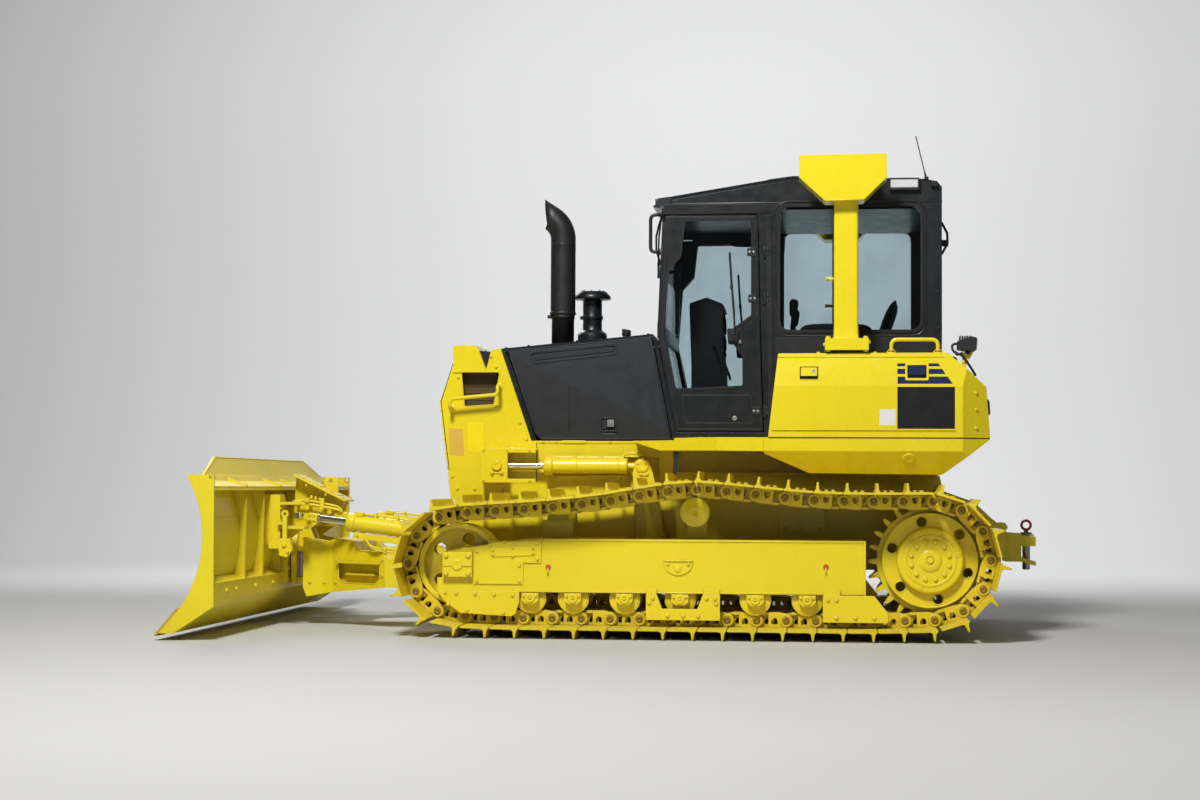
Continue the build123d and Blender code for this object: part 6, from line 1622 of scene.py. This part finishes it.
    # lip over the pocket of the cheek and the serrated tread in it
    def ck(x, z, t):
        return (x + 0.597 * t, s * (cheek(x) + 0.802 * t), z)
    def slab(m, x0, x1, z0, z1, t0, t1):
        v = [ck(x, z, t) for x in (x0, x1) for z in (z0, z1) for t in (t0, t1)]
        m.add(v, [(0, 1, 3, 2), (4, 6, 7, 5), (0, 4, 5, 1), (2, 3, 7, 6), (0, 2, 6, 4), (1, 5, 7, 3)])
    slab(g, 3086, 3384, 364, 372, -2, 26)
    slab(g, 3140, 3340, 296, 304, -46, -8)
    for i in range(13):
        slab(g, 3144 + 15 * i, 3151 + 15 * i, 304, 309, -44, -10)
    for i in range(17):
        slab(g, 3094 + 17 * i, 3102 + 17 * i, 372, 377, 2, 24)
    weld(g, [ck(3092, 362, 0.5), ck(3092, 281, 0.5), ck(3122, 252, 0.5), ck(3352, 252, 0.5), ck(3378, 277, 0.5), ck(3378, 362, 0.5)], 3)
    # hoses under the angle cylinder, with their clip
    for k in (0, 1):
        h.tube([(3196, s * (452 + 6 * k), 520), (3176, s * 484, 502 - 6 * k), (3148, s * 506, 474 - 8 * k), (3100, s * 522, 458 - 14 * k), (3040, s * 527, 455 - 17 * k), (2985, s * 527, 449 - 17 * k),
                (2950, s * 512, 448 - 17 * k), (2900, s * 494, 446)], 5.5, 12)
    g.box(3050, 3066, s * 516, s * 537, 428, 466)
    b.bolt((3058, s * 537, 447), (0, s, 0), 5.5, 4)
    g.make(side + "_push_arm_trim", "frame", "push_frame", "linkage_paint", bevel=0.8, seg=1)
    b.make(side + "_push_arm_bolts", "frame", "push_frame", "linkage_paint")
    h.make(side + "_push_arm_pipes", "frame", "push_frame", "linkage_paint")

# nose of the push frame
g, b = Mesh(), Mesh()
g.turned((YAW_X, 0, 420), (0, 0, 1), [(-4, 98), (1.5, 98), (3, 95), (3, 60), (0, 58)], 48)
g.turned((YAW_X, 0, 282), (0, 0, -1), [(-4, 98), (1.5, 98), (3, 95), (3, 60), (0, 58)], 48)
for y in (-150, 0, 150):
    g.box(3436, 3441, y - 40, y + 40, 300, 400)
for s in (1, -1):
    weld(g, [(3440, s * 216, 486), (3598, s * 216, 508)], 4)
    for x, z in ((3470, 250), (3560, 250), (3470, 450), (3560, 470)):
        b.bolt((x, s * 245, z), (0, s, 0), 9, 7)
g.make("push_nose_trim", "frame", "push_frame", "linkage_paint", bevel=1.0, seg=1)
b.make("push_nose_bolts", "frame", "push_frame", "linkage_paint")

# ---- yoke
g, b, h, p = Mesh(), Mesh(), Mesh(), Mesh()
g.turned((YAW_X, 0, 458), (0, 0, 1), [(-2, 88), (5, 88), (8, 84), (8, 44), (6, 42)], 48)
for i in range(6):
    a = math.radians(30 + 60 * i)
    b.bolt((YAW_X + 66 * math.cos(a), 66 * math.sin(a), 465), (0, 0, 1), 8, 6)
cd = Vector((314, 0, 151)).normalized()
cn = Vector((-cd.z, 0, cd.x))
cp = lambda q, y, t=0.0: tuple(Vector((3371, y, 728)) + cd * q + cn * t)
for q in (24, 110, 200, 290, 326):
    for y in (-76, 136):
        b.bolt(cp(q, y, 0), cn, 8, 7)
for q0, q1, y0, y1 in ((60, 150, -40, 100), (180, 300, -40, 110)):
    v = [cp(q, y, t) for q in (q0, q1) for y in (y0, y1) for t in (-2, 4)]
    g.add(v, [(0, 1, 3, 2), (4, 6, 7, 5), (0, 4, 5, 1), (2, 3, 7, 6), (0, 2, 6, 4), (1, 5, 7, 3)])
for q in (120, 250):
    v = [cp(q + a, y, t) for a in (0, 9) for y in (100, 146) for t in (-34, -8)]
    g.add(v, [(0, 1, 3, 2), (4, 6, 7, 5), (0, 4, 5, 1), (2, 3, 7, 6), (0, 2, 6, 4), (1, 5, 7, 3)])
for k in (0, 1):
    p.pipe([(3672, 66, 716 - 20 * k), (3672, 130 + 16 * k, 716 - 20 * k), (3655, 132 + 16 * k, 730 - 20 * k), (3560, 132 + 16 * k, 719 - 20 * k), (3430, 132 + 16 * k, 692 - 16 * k),
            (3396, 130 + 16 * k, 668 - 6 * k), (3404, 112 + 10 * k, 646), (3470, 70, 664)], 8, 22, 12)
for x in (3600, 3512):
    g.side(rounded([(x - 12, 742), (x + 12, 738), (x + 12, 672), (x - 12, 674)], 3), 60, 160)
for i in range(4):
    p.turned((3590 - 26 * i, 92, 730 - 4 * i), (0, 0, 1), [(0, 9), (0, 12), (14, 12), (16, 8), (24, 8), (26, 6)], 6)
g.side(circle(3505, 840, 24, 28), -74, -66, [circle(3505, 840, 14.5, 20)])
g.turned((TILT_B[0] + 52, TILT_B[1], TILT_B[2]), (1, 0, 0), [(-2, 26), (5, 26), (7, 23), (7, 8)], 28)
g.turned((TILT_B[0] - 52, TILT_B[1], TILT_B[2]), (-1, 0, 0), [(-2, 26), (5, 26), (7, 23), (7, 8)], 28)
for s in (1, -1):
    weld(g, [(3690, s * 68, 470), (3696, s * 68, 700), (3684, s * 68, 866)], 3.5)
g.make("yoke_trim", "frame", "yoke", "linkage_paint", bevel=1.0, seg=1)
b.make("yoke_bolts", "frame", "yoke", "linkage_paint")
p.make("yoke_pipes", "frame", "yoke", "linkage_paint")

# ---- tilt cylinder
g, b = Mesh(), Mesh()
A, B = Vector(TILT_B), Vector(TILT_E)
d = (B - A).normalized()
g.turned(A + d * 32, d, [(0, 26), (3, 33), (8, 36.5), (16, 36.5), (19, 34)], 36)
g.turned(A + d * 218, d, [(0, 34), (3, 39), (8, 42.5), (40, 42.5), (45, 41), (49, 36), (49, 20), (52, 18), (52, 16.3)], 36)
g.box(3596, 3624, A.y - 230, A.y - 200, 800, 826)
g.box(3596, 3624, A.y - 80, A.y - 50, 798, 824)
g.pipe([(3610, A.y - 215, 822), (3610, A.y - 190, 832), (3610, A.y - 100, 832), (3610, A.y - 65, 820)], 6, 14, 10)
g.make("tilt_barrel_trim", "frame", "tilt_barrel", "linkage_paint", bevel=0.8, seg=1)
g = Mesh()
g.turned(B - d * 40, d, [(0, 16.2), (2, 21), (14, 23), (20, 23)], 28)
g.make("tilt_rod_trim", "frame", "tilt_rod", "linkage_paint")

# ---- blade
g, b, k = Mesh(), Mesh(), Mesh()
BY0 = 1659.0
# back: weld beads, folds
for z in (430, 640):
    weld(g, [(face_x(z) - 19.5, -BY0, z), (face_x(z) - 19.5, BY0, z)], 2)
weld(g, [(3746, -BY0, 789), (3746, BY0, 789)], 3.5)
weld(g, [(3746, -BY0, 300), (3746, BY0, 300)], 3.5)
for y in (205, 590, 985):
    for s in (1, -1):
        for q in (-9, 9):
            weld(g, [(3752, s * y + q, 302), (3752, s * y + q, 786)], 2.6)
for y in (-1400, -1200, -790, -390, 390, 790, 1200, 1400):
    b.bolt((3745, y, 252), (-1, 0, 0), 12, 9)
# pins and bolts of the angle cylinder ears
for s, side in SIDES:
    yb = s * ANG_E[1]
    if s > 0:
        g.turned((ANG_E[0], yb, 718), (0, 0, 1), [(-2, 30), (8, 30), (10, 27), (10, 10), (7, 9)], 32)
        b.bolt((ANG_E[0], yb, 727), (0, 0, 1), 9, 7)
    g.turned((ANG_E[0], yb, 562), (0, 0, -1), [(-2, 30), (8, 30), (10, 27), (10, 10), (7, 9)], 32)
    g.turned((ANG_E[0], yb, 578), (0, 0, 1), [(-2, 26), (5, 26), (6, 24), (6, 20), (-2, 20)], 28)
    g.turned((ANG_E[0], yb, 702), (0, 0, -1), [(-2, 26), (5, 26), (6, 24), (6, 20), (-2, 20)], 28)
    # ring eye, its bar and the lower clevis beside the ears
    yo = yb + s * 80
    g.side(circle(3655, 650, 22, 28), yo - 7, yo + 7, [circle(3655, 650, 9, 18)])
    g.side(rounded([(3668, 640), (3642, 640), (3642, 500), (3668, 500)], 5), yo - 10, yo + 10)
    g.side(rounded([(3692, 510), (3624, 506), (3606, 446), (3640, 400), (3684, 410)], 10), yo - 16, yo + 16)
    g.box(3662, 3700, yb + s * 48, yo + s * 8, 586, 606)
    g.box(3660, 3748, yb + s * 40, yo + s * 10, 450, 486)
    b.bolt((3655, yo + s * 16, 470), (0, s, 0), 11, 9)
    b.bolt((3634, yo + s * 16, 430), (0, s, 0), 7, 6)
    for y in (-40, 40):
        for z in (610, 680):
            b.bolt((3690, yb + y, z), (-1, 0, 0), 8, 6)
    # corner ear boss, inner side, and top corner fold
    g.turned((3758, s * 1659, 853), (0, -s, 0), [(-1, 17), (6, 17), (8, 15), (8, 10.5), (-1, 10.5)], 28)
    weld(g, [(face_x(300) - 20, s * 1657, 300), (face_x(500) - 20, s * 1657, 500), (face_x(700) - 20, s * 1657, 700), (face_x(838) - 20, s * 1657, 838)], 4)
# raised centre: border beads
for s in (1, -1):
    weld(g, [(3875, s * 1398, 867), (3914, s * 1040, 968)], 4)
weld(g, [(3914, -1036, 967), (3914, 1036, 967)], 4)
weld(g, [(3874, -1400, 866), (3874, 1400, 866)], 4)
# bracket of the fore and aft pin
for y in (-150, 150):
    for z in (262, 330, 400):
        b.bolt((3712, y, z), (-1, 0, 0), 9, 7)
g.make("blade_trim", "blade", "blade", "blade_paint", bevel=1.0, seg=1)
b.make("blade_bolts", "blade", "blade", "blade_paint")

# cutting edge: countersunk bolts, joints between its segments
g, k = Mesh(), Mesh()
ed = Vector((119, 0, -140)).normalized()
en = Vector((140, 0, 119)).normalized()
e0 = Vector((3937, 0, 168))
for i in range(22):
    y = -1600 + 3200 * i / 21.0
    for q in (38, 96):
        c = e0 + ed * q + Vector((0, y, 0))
        g.turned(c, en, [(-1, 12.5), (0.8, 12.5), (1.6, 11), (1.6, 8), (0.4, 7), (0.4, 2)], 20)
for y in (-1360, -680, 0, 680, 1360):
    v = [tuple(e0 + ed * q + en * t + Vector((0, y + w, 0))) for q in (2, 181) for w in (-1.6, 1.6) for t in (-1, 0.5)]
    k.add(v, [(0, 1, 3, 2), (4, 6, 7, 5), (0, 4, 5, 1), (2, 3, 7, 6), (0, 2, 6, 4), (1, 5, 7, 3)])
g.make("edge_bolts", "zinc", "blade", "edge_steel")
k.make("edge_joints", "groove", "blade", "black_paint")

# --------------------------------------------------------------------- drawbar
g, b, pn, rd = Mesh(), Mesh(), Mesh(), Mesh()
for y in (-125, 125):
    for z in (445, 520, 595):
        b.bolt((-470, y, z), (-1, 0, 0), 12, 9)
g.plan(circle(-597, 0, 46, 32), 545, 552, [circle(-597, 0, 23.5, 28)])
weld(g, [(-472, -112, 404), (-472, -112, 556), (-472, 112, 556), (-472, 112, 404)], 5)
g.side(rounded([(-476, 566), (-548, 558), (-548, 470), (-476, 470)], 6), 108, 114)
g.side(rounded([(-476, 566), (-548, 558), (-548, 470), (-476, 470)], 6), -114, -108)
g.make("drawbar_trim", "frame", "chassis", "linkage_paint", bevel=1.0, seg=1)
b.make("drawbar_bolts", "frame", "chassis", "linkage_paint")
pn.turned((-597, 0, 349), (0, 0, 1), [(0, 12), (0, 17), (7, 22), (190, 22), (205, 22), (205, 34), (213, 34), (216, 31), (216, 14), (226, 12), (226, 4)], 40)
pn.make("hitch_pin_shaft", "pin", "hitch_pin", "pin_steel", replaces=("hitch_pin",))
loop = [(-597 + 26 * math.cos(math.radians(t)), 0, 606 + 26 * math.sin(math.radians(t))) for t in range(-110, 251, 12)]
rd.tube_raw([Vector(q) for q in loop], 7.6, 16)
rd.turned((-597, 0, 562), (0, 0, 1), [(0, 13), (14, 12), (20, 9)], 24)
rd.make("hitch_pin_loop", "red", "hitch_pin", "pin_steel", replaces=("hitch_pin",))

# ----------------------------------------------------------- floor and light
def stage_mesh():
    """Floor that curves up into a backdrop."""
    prof = [(26.0, 0.0), (-9.0, 0.0)] + [(-9.0 - 6 * math.sin(math.radians(t)), 6 - 6 * math.cos(math.radians(t))) for t in range(6, 91, 6)] + [(-15.0, 18.0)]
    v, f = [], []
    for x in (-40.0, 40.0):
        v += [(x, y, z) for y, z in prof]
    n = len(prof)
    for i in range(n - 1):
        f.append((i, i + 1, n + i + 1, n + i))
    me = bpy.data.meshes.new("studio_floor")
    me.from_pydata(v, [], f)
    for p in me.polygons:
        p.use_smooth = True
    o = bpy.data.objects.new("studio_floor", me)
    bpy.context.scene.collection.objects.link(o)
    m, nt, ns, lk = new_mat("mat_floor")
    out = nd(ns, "ShaderNodeOutputMaterial")
    b = nd(ns, "ShaderNodeBsdfPrincipled")
    lk.new(b.outputs[0], out.inputs[0])
    tc = nd(ns, "ShaderNodeTexCoord")
    n1 = noise(ns, lk, tc.outputs["Object"], 0.7, 6)
    near = mixc(ns, lk, n1, (0.54, 0.54, 0.54), (0.57, 0.57, 0.567))
    sep = nd(ns, "ShaderNodeSeparateXYZ")
    lk.new(tc.outputs["Object"], sep.inputs[0])
    far = nd(ns, "ShaderNodeMapRange")
    far.inputs[1].default_value, far.inputs[2].default_value = -2.0, -9.0
    lk.new(sep.outputs[1], far.inputs[0])
    mx = nd(ns, "ShaderNodeMixRGB")
    mx.inputs[2].default_value = (0.92, 0.92, 0.92, 1)
    lk.new(far.outputs[0], mx.inputs[0])
    lk.new(near, mx.inputs[1])
    lk.new(mx.outputs[0], b.inputs["Base Color"])
    b.inputs["Roughness"].default_value = 0.75
    me.materials.append(m)
    o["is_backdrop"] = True


stage_mesh()
w = bpy.data.worlds.new("studio")
bpy.context.scene.world = w
w.use_nodes = True
bg = w.node_tree.nodes["Background"]
bg.inputs[0].default_value = (0.93, 0.96, 1.0, 1)
bg.inputs[1].default_value = 0.09


def area(name, loc, aim, size, energy, rgb=(1, 1, 1), sy=None):
    d = bpy.data.lights.new(name, "AREA")
    d.shape = "RECTANGLE"
    d.size, d.size_y = size, sy or size
    d.energy = energy
    d.color = rgb
    o = bpy.data.objects.new(name, d)
    bpy.context.scene.collection.objects.link(o)
    o.location = loc
    o.rotation_euler = (Vector(aim) - Vector(loc)).to_track_quat("-Z", "Y").to_euler()
    return o


area("key", (1.2, 7.6, 8.4), (0, 0.4, 0.8), 1.6, 1060, (1.0, 0.985, 0.955))
area("front_fill", (-4.5, 9.0, 3.0), (0, 0, 1.0), 6.0, 15, (0.95, 0.98, 1.0), 3.0)
area("back_rim", (4.0, -6.0, 6.0), (0, 0, 1.2), 3.0, 160)
area("backdrop", (0, -5.0, 7.0), (0, -14.0, 4.0), 12.0, 620, (0.97, 0.98, 1.0), 2.0)

BOX_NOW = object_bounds()
flat = lambda b: [[round(float(c), 5) for c in p] for p in b]
{"cad": flat(CAD_BOX), "visual": flat(BOX_NOW)}
